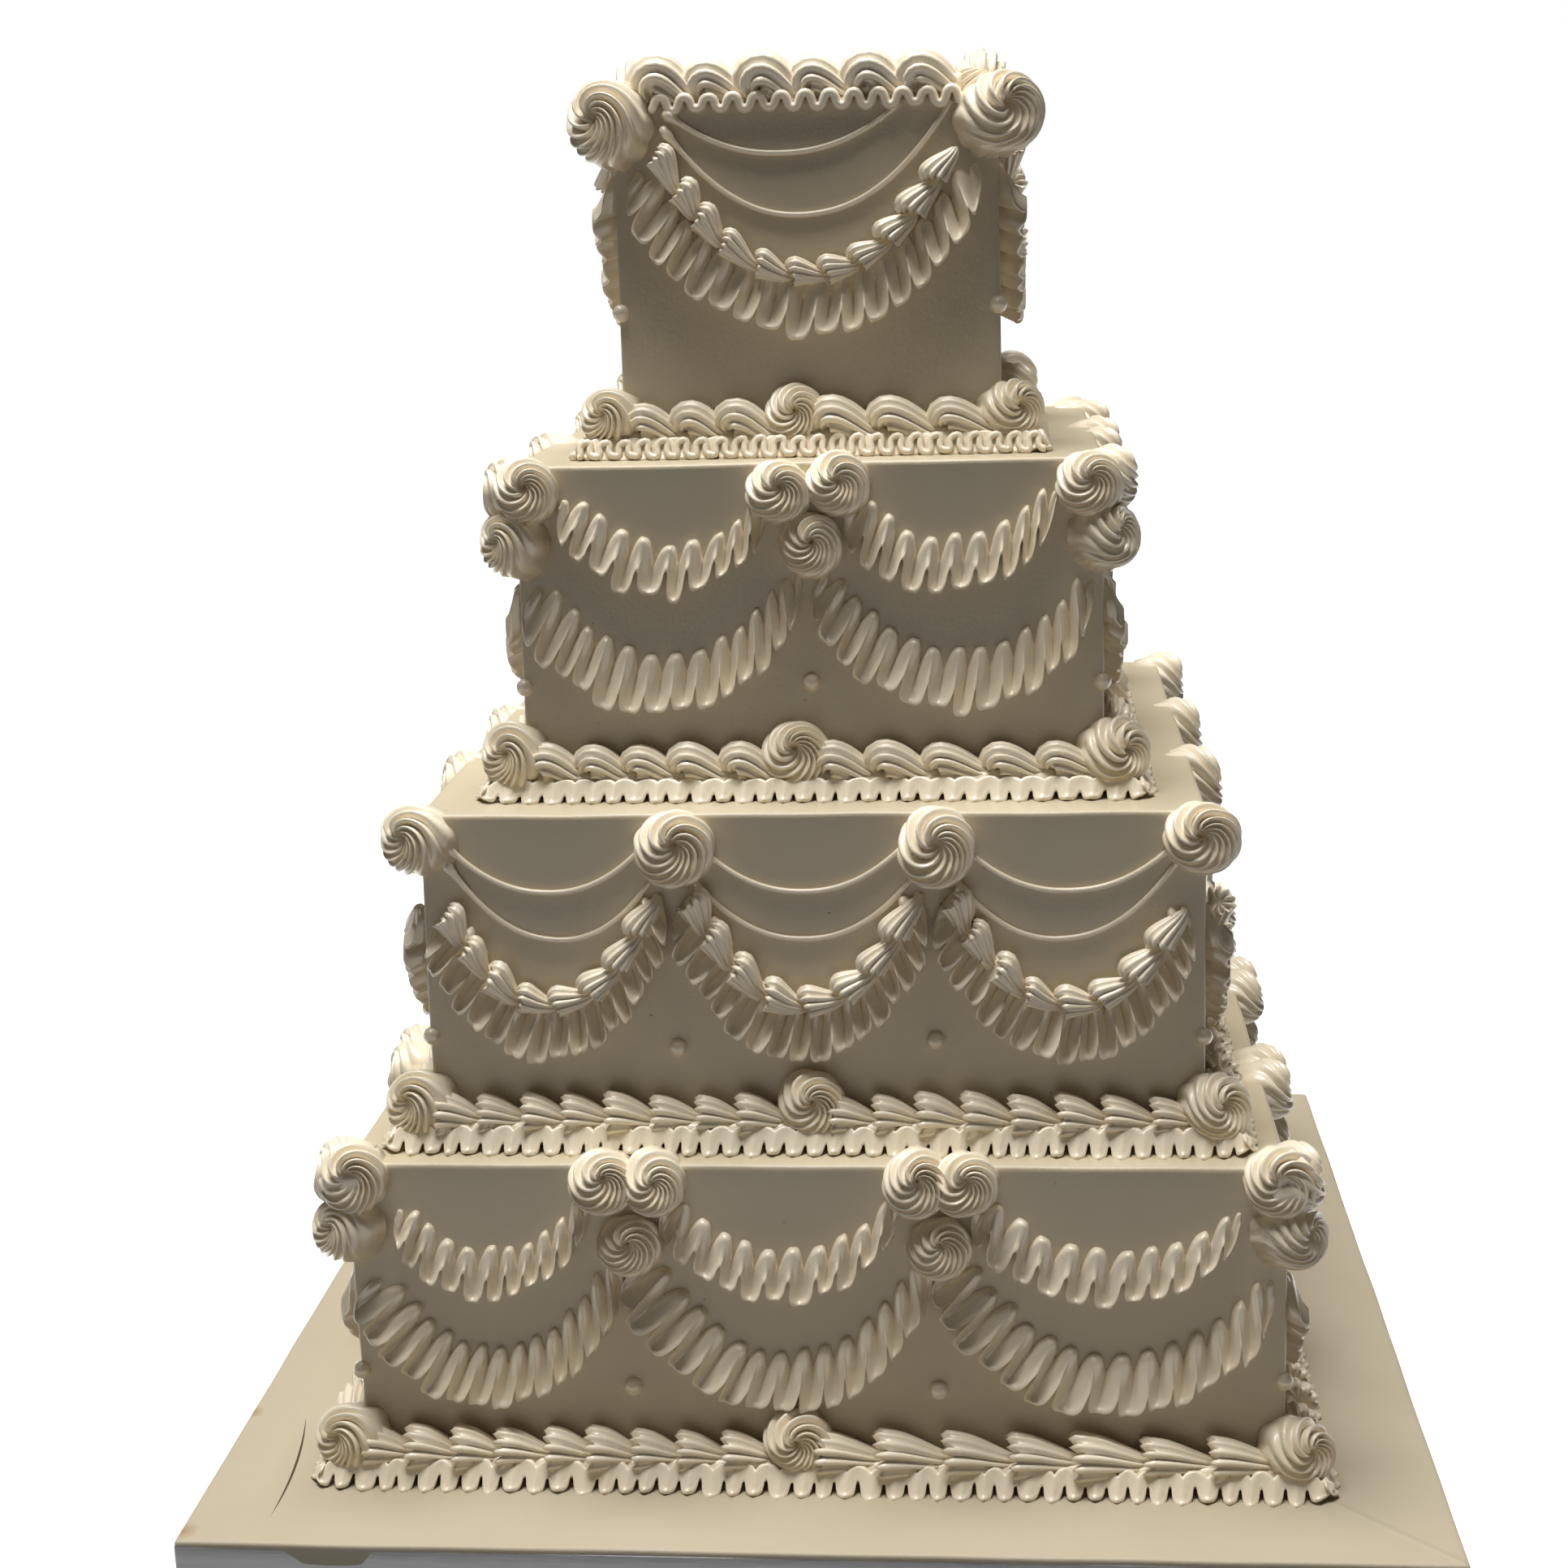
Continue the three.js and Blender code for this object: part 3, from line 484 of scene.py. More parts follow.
def rosettes(places, tier, draw):
    """Swirled mounds, each given as (axes, along, out, drop, radius, depth). A ring is a circle. Its
    radius and height follow a quarter ellipse from the foot up to the crest, then a smooth slope
    down into a small pit that lies off the middle. Broad ribs, 2 |sin(n a / 2)| ** 1.1 - 1, stand on
    the surface and wind round by an angle that grows with the way inward. The outline is a spiral: it
    widens slowly through one turn and steps back where the rope of icing ends."""
    axes = np.array([[place[0][key] for key in ("right", "up", "out")] for place in places], float)
    centre = np.array([(along, out, tier["top"] - drop) for _, along, out, drop, _, _ in places], float)
    radius, depth = np.array([place[4:6] for place in places], float).T[:, :, None, None]

    def uneven(low, high):
        return draw.uniform(low, high, (len(places), 1, 1))

    # Quarter ellipse up to the crest, then the pit.
    way = np.linspace(0, 1, ROSETTE_ROWS)[None, :, None]
    columns = ROSETTE_RIDGES * RIDGE_COLUMNS
    turn = (np.arange(columns) / columns * 2 * math.pi)[None, None, :]
    climb = np.clip(way / CREST, 0, 1) * math.pi / 2
    sink = np.clip((way - CREST) / (1 - CREST), 0, 1)
    crest_share = uneven(0.13, 0.24)
    share = (crest_share + (1 - crest_share) * np.cos(climb) ** 0.85) * (1 - 0.93 * sink)
    rise = np.sin(climb) ** 0.75 - uneven(0.25, 0.5) * sink**1.2
    # Ribs, shallow near the foot and the pit, and deeper on one side.
    rib = 2 * np.abs(np.sin(ROSETTE_RIDGES * turn / 2)) ** 1.1 - 1
    relief = radius * 0.165 * np.minimum(1, share / 0.55) * (0.22 + 0.78 * np.sin(climb))
    relief = relief * (1 + 0.25 * np.sin(turn + uneven(0, 6)))
    side_lean = np.cos(climb) * (1 - sink) - 0.6 * sink
    front_lean = np.sqrt(1 - side_lean**2)
    angle = turn + uneven(1.5, 1.9) * (1 - share) + uneven(1.8, 2.1) * way
    angle = angle + 0.33 * np.sin(turn + uneven(-1.4, -0.3))
    # One side of the crest is a higher lip, and the outline is a spiral.
    lip = 0.15 * np.exp(-(((way - 0.64) / 0.2) ** 2)) * np.cos(angle - uneven(1.6, 2.8))
    lap = ((angle + uneven(0, 6)) / (2 * math.pi)) % 1
    spiral = 1 + 0.09 * (lap - np.clip((lap - 0.93) / 0.07, 0, 1) - 0.5)
    oval = 1 + 0.03 * np.sin(angle * 2 + uneven(0, 6))
    reach = share * radius * spiral * oval + relief * rib * side_lean
    forward = 0.88 * (rise + lip) * depth + relief * rib * front_lean
    # The middle slides off the centre, and a root of icing holds the foot in the wall.
    slide = np.clip(way / 0.8, 0, 1) ** 1.5 * radius
    sideways = reach * np.cos(angle) + uneven(-0.12, 0.12) * slide
    upwards = reach * np.sin(angle) + uneven(0.0, 0.16) * slide
    local = np.stack([sideways, upwards, forward], axis=-1)
    foot = local[:, :1].copy()
    foot[..., 2] = -ROSETTE_ROOT
    local = np.concatenate([foot, local], axis=1)
    tips = np.stack([[[0, 0, -ROSETTE_ROOT]] * len(places), local[:, -1].mean(axis=1)], axis=1)
    rings = centre[:, None, None] + np.einsum("krca,kax->krcx", local, axes)
    ends = centre[:, None] + np.einsum("kea,kax->kex", tips, axes)
    return rings, ends[:, 0], ends[:, 1]


for number, (name, group) in enumerate(CORNER_GROUPS.items()):
    tier = TIERS[name]
    for side, corner in enumerate(CORNERS):
        draw = np.random.default_rng(500 + 10 * number + side)
        places = []
        for axes, along, out, drop, radius, depth in group:
            if (name == "top" and axes is ON_CORNER) or (name == "lower" and side == 3):
                axes = TOWARDS_FRONT[side]
            places.append((axes, tier["width"] / 2 + along, out, drop, radius, depth))
        swirls = rosettes(places, tier, draw)
        make_piping(f"{name}_corner_{corner}", [swirls], tier, side, f"{name}_rosettes_{corner}")


# ==========================================================
# Double ruffle garlands of the bottom and upper tiers
# A narrow and a broad ribbon of buttercream, each piped up and down along a hanging line with a petal
# nozzle, so that rounded fingers stand above cupped lobes. Three rosettes cover the meeting ends.

# A route's "corner" and "stop" are its ends, as (distance from the end of the bay, drop), and "low"
# is the drop of its lowest point. A cluster's rosettes are (place along from the stop, drop, radius).
ROUTE_HEADINGS = "corner stop low height folds reach sag follow"
RUFFLE_WALLS = {
    "bottom": named(
        ROUTE_HEADINGS,
        high=((18, 22), (14, 17), 44, 20.5, 11, 7.0, 0.0, (0.3, 0.1)),
        low=((5, 50), (2, 42), 87.5, 23.5, 15, 8.5, 0.15, (0.7, 0.3)),
    ),
    "upper": named(
        ROUTE_HEADINGS,
        high=((18, 16), (15, 18), 41, 22.0, 10, 7.0, 0.0, (0.3, 0.1)),
        low=((4, 52), (3, 48), 86, 24, 14, 9.0, 0.03, (0.4, 0.2)),
    ),
}
CLUSTERS = {
    "bottom": [(-8, 6.5, 12.9), (11.5, 7, 12.6), (1, 32.5, 12.2)],
    "upper": [(-10.5, 12, 12.4), (12, 9.5, 12.4), (1, 33, 12.4)],
}
RIBBONS = named(
    "kind lobe lean finger notch bead",
    high=("petal", 0.84, 0.14, 0.47, 0.53, 2.0),
    low=("broad", 0.93, 0.14, 0.37, 0.6, 1.2),
)
# How far one fold may differ from the next, as a share.
UNEVEN = {"width": 0.17, "finger": 0.16, "notch": 0.09, "lobe": 0.2, "relief": 0.15, "lean": 0.06}
# Columns of a fold, from one finger to the next, and rows from the upper edge to the lower one. They
# lie close together where the surface bends most.
FOLD_STEPS = np.array([
    0, 0.045, 0.08, 0.105, 0.14, 0.22, 0.31, 0.38, 0.44,
    0.5, 0.56, 0.62, 0.69, 0.78, 0.86, 0.895, 0.92, 0.955,
])
SKIRT_STEPS = np.array([0, 0.06, 0.1, 0.16, 0.26, 0.38, 0.5, 0.62, 0.74, 0.84, 0.9, 0.94])
ACROSS = np.array([0, 0.02, 0.06, 0.12, 0.2, 0.33, 0.47, 0.6, 0.72, 0.81, 0.87, 0.915, 0.955, 0.985, 1.0])
# Distance from the wall across a ribbon, under a finger and in a lobe, in shares of its reach.
ROUND_EDGE = np.sqrt(1 - (1 - np.clip(ACROSS / 0.13, 0, 1)) ** 2)
STANDING = {
    "petal": (0.48 * ROUND_EDGE + 0.1 * ACROSS + 0.36 * ACROSS**2, 0.05 + 0.3 * ACROSS + 0.2 * ACROSS**2),
    "broad": (0.42 * ROUND_EDGE + 0.26 * ACROSS + 0.3 * ACROSS**2, 0.04 + 0.3 * ACROSS + 0.34 * ACROSS**2),
    "skirt": (0.3 * ROUND_EDGE - 0.1 * ACROSS, 0.4 * ROUND_EDGE + 0.5 * ACROSS),
}
RIBBON_THICKNESS = 1.1
RIBBON_ROOT = 0.6
BEAD_WIDTH = 0.75


def eased(share):
    """Way from 0 to 1 that starts and ends gently: 3 s ** 2 - 2 s ** 3."""
    return share**2 * (3 - 2 * share)


def unit(ways):
    """The same directions, each with the length 1."""
    return ways / np.linalg.norm(ways, axis=-1, keepdims=True)


def travelled(line):
    """Distance along a line up to each of its points."""
    return np.concatenate([[0], np.cumsum(np.linalg.norm(np.diff(line, axis=0), axis=1))])


def hanging_line(start, end, low, top):
    """Line that hangs between two places (along, drop): the drop below the top is the straight one
    plus a sag of 1 - |2 t - 1| ** 2.2, whose lowest point is at "low". Shares of it count by its
    length, with upright steps shortened by a tenth. Gives (along, 0, height)."""
    sag = low - (start[1] + end[1]) / 2
    t = np.linspace(0, 1, 401)
    along = start[0] + (end[0] - start[0]) * t
    drop = start[1] + (end[1] - start[1]) * t + sag * (1 - np.abs(2 * t - 1) ** 2.2)
    length = np.concatenate([[0], np.cumsum(np.hypot(np.diff(along), 0.9 * np.diff(drop)))])
    length /= length[-1]

    def place(share):
        height = top - np.interp(share, length, drop)
        return np.stack([np.interp(share, length, along), np.zeros_like(height), height], axis=-1)

    return place


def ribbon_folds(ribbon, draw):
    """Folds of a ribbon that is piped up and down. Its edges are drops below its top, as shares of its
    height. Over the distance d from the nearest finger, which is 1 in the middle of a lobe, the upper
    edge is "finger" times 1 - (1 - d ** 3.4) ** 1.1, round fingers with valleys between them. The
    lower edge goes from "notch" under a finger to 1 in a lobe by (1 - ((1 - d) / w) ** 4) ** 0.42 for
    lobes of half width w, with a small lip beside each notch. Every fold has its own size. Gives the
    share of the line, the phase in the fold, d, both edges, the relief and the lean."""
    folds, notch = ribbon["folds"], ribbon["notch"]
    steps = SKIRT_STEPS if ribbon["kind"] == "skirt" else FOLD_STEPS
    fold = np.append(np.repeat(np.arange(folds), len(steps)), folds - 1)
    phase = np.append(np.tile(steps, folds), 1.0)

    def uneven(part, count=folds + 1):
        return UNEVEN[part] * draw.uniform(-1, 1, count)

    def along_folds(values):
        return values[fold] + (values[fold + 1] - values[fold]) * eased(phase)

    edges = np.concatenate([[0], np.cumsum(1 + uneven("width", folds))])
    edges /= edges[-1]
    share = edges[fold] + (edges[fold + 1] - edges[fold]) * phase
    finger_size = (1 + uneven("finger"))[fold + (phase > 0.5)]
    notch_depth = along_folds(notch * (1 + uneven("notch")))
    lobe_size = (1 + uneven("lobe"))[fold]
    relief = along_folds(1 + uneven("relief"))
    lean = along_folds(ribbon["lean"] + uneven("lean"))
    apart = 2 * np.minimum(phase, 1 - phase)
    upper = ribbon["finger"] * (1 - finger_size * (1 - apart**3.4) ** 1.1)
    lobe = lobe_size * np.clip(1 - ((1 - apart) / ribbon["lobe"]) ** 4, 0, 1) ** 0.42
    lobe = np.maximum(lobe, 0.16 * np.clip(apart / 0.16, 0, 1) ** 2)
    lower = notch_depth + (1 - notch_depth) * lobe
    return share, phase, apart, upper, lower, relief[:, None], lean[:, None]


def ruffle(place, ribbon, draw, down=(0, 0, -1), out=(0, 1, 0)):
    """Folded ribbon laid along a line. Across it, the distance from the wall follows one curve of
    STANDING under a finger and the other, hollower one in a lobe, mixed by the crest: a cosine wave
    along the ribbon, whose upper half is as broad as a thumb, (1 - d ** 3) ** 0.7, except in a skirt.
    The lower edge is a bead, exp(-g ** 2) over the gap g from it, and turns back to the wall. The way
    down is turned from "down" by "follow" times the line's own slope, with one share for the left
    half and one for the right. The folds lean, sag sideways and are smaller at the line's ends."""
    folds, height = ribbon["folds"], ribbon["height"]
    share, phase, apart, upper, lower, relief, lean = ribbon_folds(ribbon, draw)
    crest = (0.5 + 0.5 * np.cos(2 * math.pi * phase))[:, None]
    if ribbon["kind"] == "skirt":
        crest = crest**0.55
    else:
        thumb = (1 - np.clip(apart / 0.97, 0, 1) ** 3)[:, None] ** 0.7
        lower_half = eased(np.clip((ACROSS - 0.3) / 0.4, 0, 1))
        crest = thumb * (1 - lower_half) + crest**0.8 * lower_half
    under_finger, in_lobe = STANDING[ribbon["kind"]]
    level = upper[:, None] + (lower - upper)[:, None] * ACROSS
    line = place(share)
    run = travelled(line)
    steep = np.gradient(lower * height, run)
    gap = (lower[:, None] - level) * height / np.sqrt(1 + steep**2)[:, None]
    stand = ribbon["reach"] * relief * (crest * under_finger + (1 - crest) * in_lobe)
    bead = ribbon["bead"] * np.exp(-(((gap - BEAD_WIDTH) / BEAD_WIDTH) ** 2))
    stand = stand + bead * np.clip((ACROSS - 0.5) / 0.3, 0, 1) * (1 - 0.6 * crest**2)
    # The rim of the lower edge turns round and goes back to the wall in four steps.
    thick = RIBBON_THICKNESS / height
    rim_level, rim_stand = level[:, -1:], stand[:, -1:]
    rim_levels = [rim_level + step * thick for step in (0.35, -0.2, -1.6, -3.4)]
    level = np.concatenate([level[:, :1] + 0.01, level, *rim_levels], axis=1)
    root = np.full_like(rim_stand, -RIBBON_ROOT)
    rim_stands = [rim_stand - 0.55, rim_stand - 1.1, 0.45 * rim_stand - 0.3, root]
    stand = np.concatenate([root, stand, *rim_stands], axis=1)
    spread = np.concatenate([[0.0], ACROSS, [1.0, 1.0, 0.95, 0.85]])
    ends = np.clip(np.minimum(share, 1 - share) * folds / 1.2, 0, 1)[:, None]
    ends = 0.35 + 0.65 * np.sin(ends * math.pi / 2)
    shift = lean * height * (ribbon["notch"] - level) * ends
    shift = shift - ribbon["sag"] * run[-1] / folds * np.sin(math.pi * phase)[:, None] * spread**1.5
    ahead = place(share + 0.01) - place(share - 0.01)
    slope = np.arctan2(ahead[:, 2], ahead[:, 0])
    turn = (slope * np.interp(share, [0.4, 0.6], ribbon["follow"]))[:, None, None]
    level_way, down_way = np.array([1.0, 0, 0]), np.array(down, float)
    along_way = level_way * np.cos(turn) - down_way * np.sin(turn)
    down_way = down_way * np.cos(turn) + level_way * np.sin(turn)
    rings = line[:, None] + shift[..., None] * along_way
    rings = rings + (ends * (level - 0.5) * height)[..., None] * down_way
    rings = rings + np.where(stand < 0, stand, ends * stand)[..., None] * np.array(out, float)
    return rings[None], rings[0].mean(axis=0), rings[-1].mean(axis=0)


def bay_edges(tier):
    """Stretches of wall between the groups of rosettes, as (left end, right end)."""
    half = tier["width"] / 2
    edges = [-half, *tier["stops"], half]
    return list(zip(edges[:-1], edges[1:]))


def line_in_bay(tier, bay, route):
    """Hanging line across a bay. It ends clear of the corner, or of the stop between two bays."""
    half = tier["width"] / 2
    clear, drop = route["corner"] if bay[0] == -half else route["stop"]
    start = (bay[0] + clear, drop)
    clear, drop = route["corner"] if bay[1] == half else route["stop"]
    return hanging_line(start, (bay[1] - clear, drop), route["low"], tier["top"])


def piped_walls(table, seed):
    """Every wall of the tiers in a table: the tier's name and row, the tier, the number and name of
    the side, and the random draws of that wall."""
    for number, (name, row) in enumerate(table.items()):
        for side, side_name in enumerate(SIDES):
            yield name, row, TIERS[name], side, side_name, np.random.default_rng(seed + 10 * number + side)


for name, wall, tier, side, side_name, draw in piped_walls(RUFFLE_WALLS, seed=700):
    parts = []
    for bay in bay_edges(tier):
        for key, ribbon in RIBBONS.items():
            parts.append(ruffle(line_in_bay(tier, bay, wall[key]), {**ribbon, **wall[key]}, draw))
    for stop in tier["stops"]:
        places = [(ON_FRONT, stop + along, 0, drop, radius, 13) for along, drop, radius in CLUSTERS[name]]
        parts.append(rosettes(places, tier, draw))
    make_piping(f"{name}_ruffles_{side_name}", parts, tier, side, f"{name}_garland_{side_name}")


# ==========================================================
# Shell garlands of the lower and top tiers
# A chain of small star-nozzle shells hangs over a ruffle of folded petals, and plain round threads of
# buttercream hang above it. A large rosette covers the ends between the lower tier's bays.

SHELL_WALLS = {
    "lower": {
        "shells": {"corner": (9, 37), "stop": (6, 31), "low": 75, "count": 8, "radius": 5.9},
        "ruffle": {"corner": (6, 42), "stop": (4, 35), "low": 86, "height": 23},
        "threads": [
            {"corner": (10, 11), "stop": (12, 14), "low": 31},
            {"corner": (10, 18), "stop": (8, 26), "low": 50},
        ],
    },
    "top": {
        "shells": {"corner": (17, 19), "low": 68, "count": 11, "radius": 5.7},
        "ruffle": {"corner": (7, 30), "low": 81, "height": 22},
        "threads": [],
    },
}
PETAL_RIBBON = {
    "kind": "broad", "lobe": 0.93, "lean": 0.12, "finger": 0.32, "notch": 0.64, "bead": 2.0,
    "folds": 17, "reach": 10.5, "sag": 0.05, "follow": (0.5, 0.5),
}
# Rosette over each stop, as (place along from the stop, drop, radius, depth).
STOP_ROSETTE = (1.5, 14.5, 15.2, 14)
CHAIN_OUT = 2.5
THREAD_RADIUS = 1.15
# Lengths are in radii of the shell, and "start" in degrees.
SHELL_FORMS = named(
    "start curl ahead turned first tail drop ragged",
    flared=(110, 0.1, 0.1, 0.06, 0.88, 0.27, 0.36, 1.0),
    budded=(132, 0.15, 0.3, 0.2, 0.68, 0.24, 0.3, 0.8),
    rounded=(225, 0.3, 0.62, 0.36, 0.3, 0.55, 0.72, 0.0),
    humped=(250, 0.42, 0.8, 0.42, 0.4, 0.5, 0.55, 0.0),
)


def shells(place, heads, radius, ridges, draw, form, lift=0.45, around=(-38, 218)):
    """Chain of shells on a path, from each head to the next. The rope of a shell first turns through
    an arc of radius "curl" from the angle "start" to the top, growing from "first" to its full size,
    then runs on to its "tail", sinking by "drop" and thinning. Its section is an arc of a circle
    with broad ribs, 2 |sin(n b / 2)| ** 0.8 - 1. The heads of ragged forms have torn ridge tips."""
    form = SHELL_FORMS[form]
    count = len(heads) - 1
    way = np.linspace(0, 1, 17)
    turning = np.clip(way / form["turned"], 0, 1)
    trailing = np.clip((way - form["turned"]) / (1 - form["turned"]), 0, 1)
    # Path and size of the rope.
    bend = np.radians(form["start"] + (90 - form["start"]) * turning)
    real_length = np.linalg.norm(place(heads[1:]) - place(heads[:-1]), axis=-1)[:, None]
    scale = radius * (1 + 0.11 * draw.uniform(-1, 1, (count, 1)))
    ahead = scale * (form["ahead"] + form["curl"] * np.cos(bend))
    ahead = ahead + trailing * (1.12 * real_length - scale * form["ahead"])
    slope = eased(trailing)
    rise = scale * (form["curl"] * np.sin(bend) * (1 - slope) - form["drop"] * slope)
    size = form["first"] + (1 - form["first"]) * np.sin(turning * math.pi / 2) ** 0.8
    size = size - (1 - form["tail"]) * trailing**1.15
    size = size * np.sqrt(1 - 0.97 * np.clip((way - 0.88) / 0.12, 0, 1) ** 2)
    travel = heads[:-1, None] + (heads[1:] - heads[:-1])[:, None] * ahead / real_length
    level = unit(place(travel + 0.002) - place(travel - 0.002))
    out = np.broadcast_to([0.0, 1.0, 0.0], level.shape)
    spine = place(travel) + rise[..., None] * np.cross(level, out)
    tangent = unit(np.gradient(spine, axis=1))
    upward = np.cross(tangent, out)
    # Ribbed section, four columns to a ridge.
    columns = ridges * 4 + 1
    angle = np.linspace(math.radians(around[0]), math.radians(around[1]), columns)[:, None]
    phase = (np.arange(columns) + draw.integers(0, 4, (count, 1, 1))) / 4 * 2 * math.pi
    rib = 2 * np.abs(np.sin(phase / 2)) ** 0.8 - 1
    swell = (scale * size)[..., None] * (1 + 0.19 * rib * (0.7 + 0.3 * size[:, None]))
    centre = spine + out * (lift * scale * size)[..., None]
    spokes = np.cos(angle) * upward[:, :, None] + np.sin(angle) * out[:, :, None]
    rings = centre[:, :, None] + swell[..., None] * spokes
    # Torn ridge tips, round a hollow in the head.
    ragged = form["ragged"] * np.clip(1 - way / 0.22, 0, 1)
    poke = 0.1 * real_length[..., None] * ragged[:, None] * (rib + 0.4)
    poke = poke * (1 + 0.3 * draw.uniform(-1, 1, (count, 1, 1)))
    rings -= poke[..., None] * tangent[:, :, None]
    hollow = rings[:, :1].mean(axis=2, keepdims=True) * 0.5 + rings[:, :1] * 0.5
    hollow = hollow + 0.08 * real_length[:, :, None, None] * tangent[:, :1, None]
    return np.concatenate([hollow, rings], axis=1), hollow[:, 0].mean(axis=1), rings[:, -1].mean(axis=1)


def thread(place, bulb, thickness=THREAD_RADIUS, steps=44):
    """Round thread: a circle carried along the line, resting on the wall, with a thick blob of radius
    "bulb" where the nozzle started."""
    spine = place(np.linspace(0, 1, steps))
    tangent = unit(np.gradient(spine, axis=0))
    out = np.broadcast_to([0.0, 1.0, 0.0], tangent.shape)
    across = np.cross(out, tangent)
    radius = thickness + (bulb - thickness) * np.exp(-((travelled(spine) / 5) ** 2))
    radius[0] *= 0.6
    turn = np.linspace(0, 2 * math.pi, 13)[:-1, None]
    centre = spine + out * (0.75 * radius)[:, None]
    spokes = np.cos(turn) * across[:, None] + np.sin(turn) * out[:, None]
    rings = centre[:, None] + radius[:, None, None] * spokes
    return rings[None], centre[0] - 0.4 * radius[0] * tangent[0], centre[-1]


for name, wall, tier, side, side_name, draw in piped_walls(SHELL_WALLS, seed=900):
    parts = []
    for bay in bay_edges(tier):
        ribbon = {**PETAL_RIBBON, **wall["ruffle"]}
        parts.append(ruffle(line_in_bay(tier, bay, ribbon), ribbon, draw))
        chain = wall["shells"]
        heads = np.linspace(0.01, 0.985, chain["count"] + 1)
        heads[1:-1] += 0.008 * draw.uniform(-1, 1, chain["count"] - 1)
        row = line_in_bay(tier, bay, chain)
        beads = shells(lambda t: row(t) + [0, CHAIN_OUT, 0], heads, chain["radius"], 8, draw, "budded")
        parts.append(beads)
        for route in wall["threads"]:
            bulb = 2.6 if bay[0] == -tier["width"] / 2 else 1.5
            parts.append(thread(line_in_bay(tier, bay, route), bulb))
    if tier["stops"]:
        along, drop, radius, depth = STOP_ROSETTE
        places = [(ON_FRONT, stop + along, 0, drop, radius, depth) for stop in tier["stops"]]
        parts.append(rosettes(places, tier, draw))
    make_piping(f"{name}_shells_{side_name}", parts, tier, side, f"{name}_garland_{side_name}")


# ==========================================================
# Borders round the feet of the tiers
# A ruffled skirt leans out over the ledge, with a looped rope on its rim at the top tier. A row of
# star-nozzle shells lies above it on a bed of icing, and rosettes cover its middle and its corners.

# "left" and "right" are how many shells lie on each side of the middle rosette.
FEET = named(
    "left right radius form middle rosette",
    bottom=(9, 7, 8.2, "flared", -7, 12.8),
    lower=(8, 8, 8.0, "flared", -1, 13.2),
    upper=(5, 5, 7.0, "rounded", -6, 13.4),
    top=(3, 3, 7.8, "rounded", -6, 12.0),
)
SKIRTS = named(
    "folds height finger notch reach",
    bottom=(46, 12.5, 0.2, 0.5, 3.4),
    lower=(43, 12.0, 0.15, 0.56, 3.5),
    upper=(31, 10.5, 0.12, 0.6, 3.2),
    top=(24, 10.5, 0.1, 0.8, 1.8),
)
SKIRT_RIBBON = {"kind": "skirt", "lobe": 0.84, "lean": 0.03, "sag": 0.08, "bead": 0.6, "follow": (0, 0)}
SKIRT_SLOPE = math.radians(62)
SKIRT_DOWN = np.array([0, math.cos(SKIRT_SLOPE), -math.sin(SKIRT_SLOPE)])
SKIRT_OUT = np.array([0, math.sin(SKIRT_SLOPE), math.cos(SKIRT_SLOPE)])
SKIRT_REACH = 17.8
SKIRT_SUNK = 0.9
SKIRT_PAST_CORNER = 17
LOOP_SWING = 3.6
LOOP_RADIUS = 1.5
LOOP_STEPS = 14
BED_RADIUS = 5.2
BED_OUT = 3.5
SHELL_OUT = 4.0
SHELL_HEIGHT = 11.0
KNOT_HEIGHT = 15.0


def level_line(first, last, out, height):
    """Level line along a wall, from one place to the other, at this distance out and height."""

    def place(share):
        along = first + (last - first) * np.asarray(share, float)
        return np.stack([along, np.full_like(along, out), np.full_like(along, height)], axis=-1)

    return place


def swinging(waves, swing, draw, spread):
    """Swing of a rope that is piped back and forth: a cosine of the turn whose size differs from wave
    to wave by up to "spread". Gives the swing and the turn for a share of the way."""
    sizes = swing * (1 + spread * draw.uniform(-1, 1, waves + 1))

    def sway(share):
        turn = 2 * math.pi * waves * share
        return np.interp(share, np.linspace(0, 1, waves + 1), sizes) * np.cos(turn), turn

    return sway


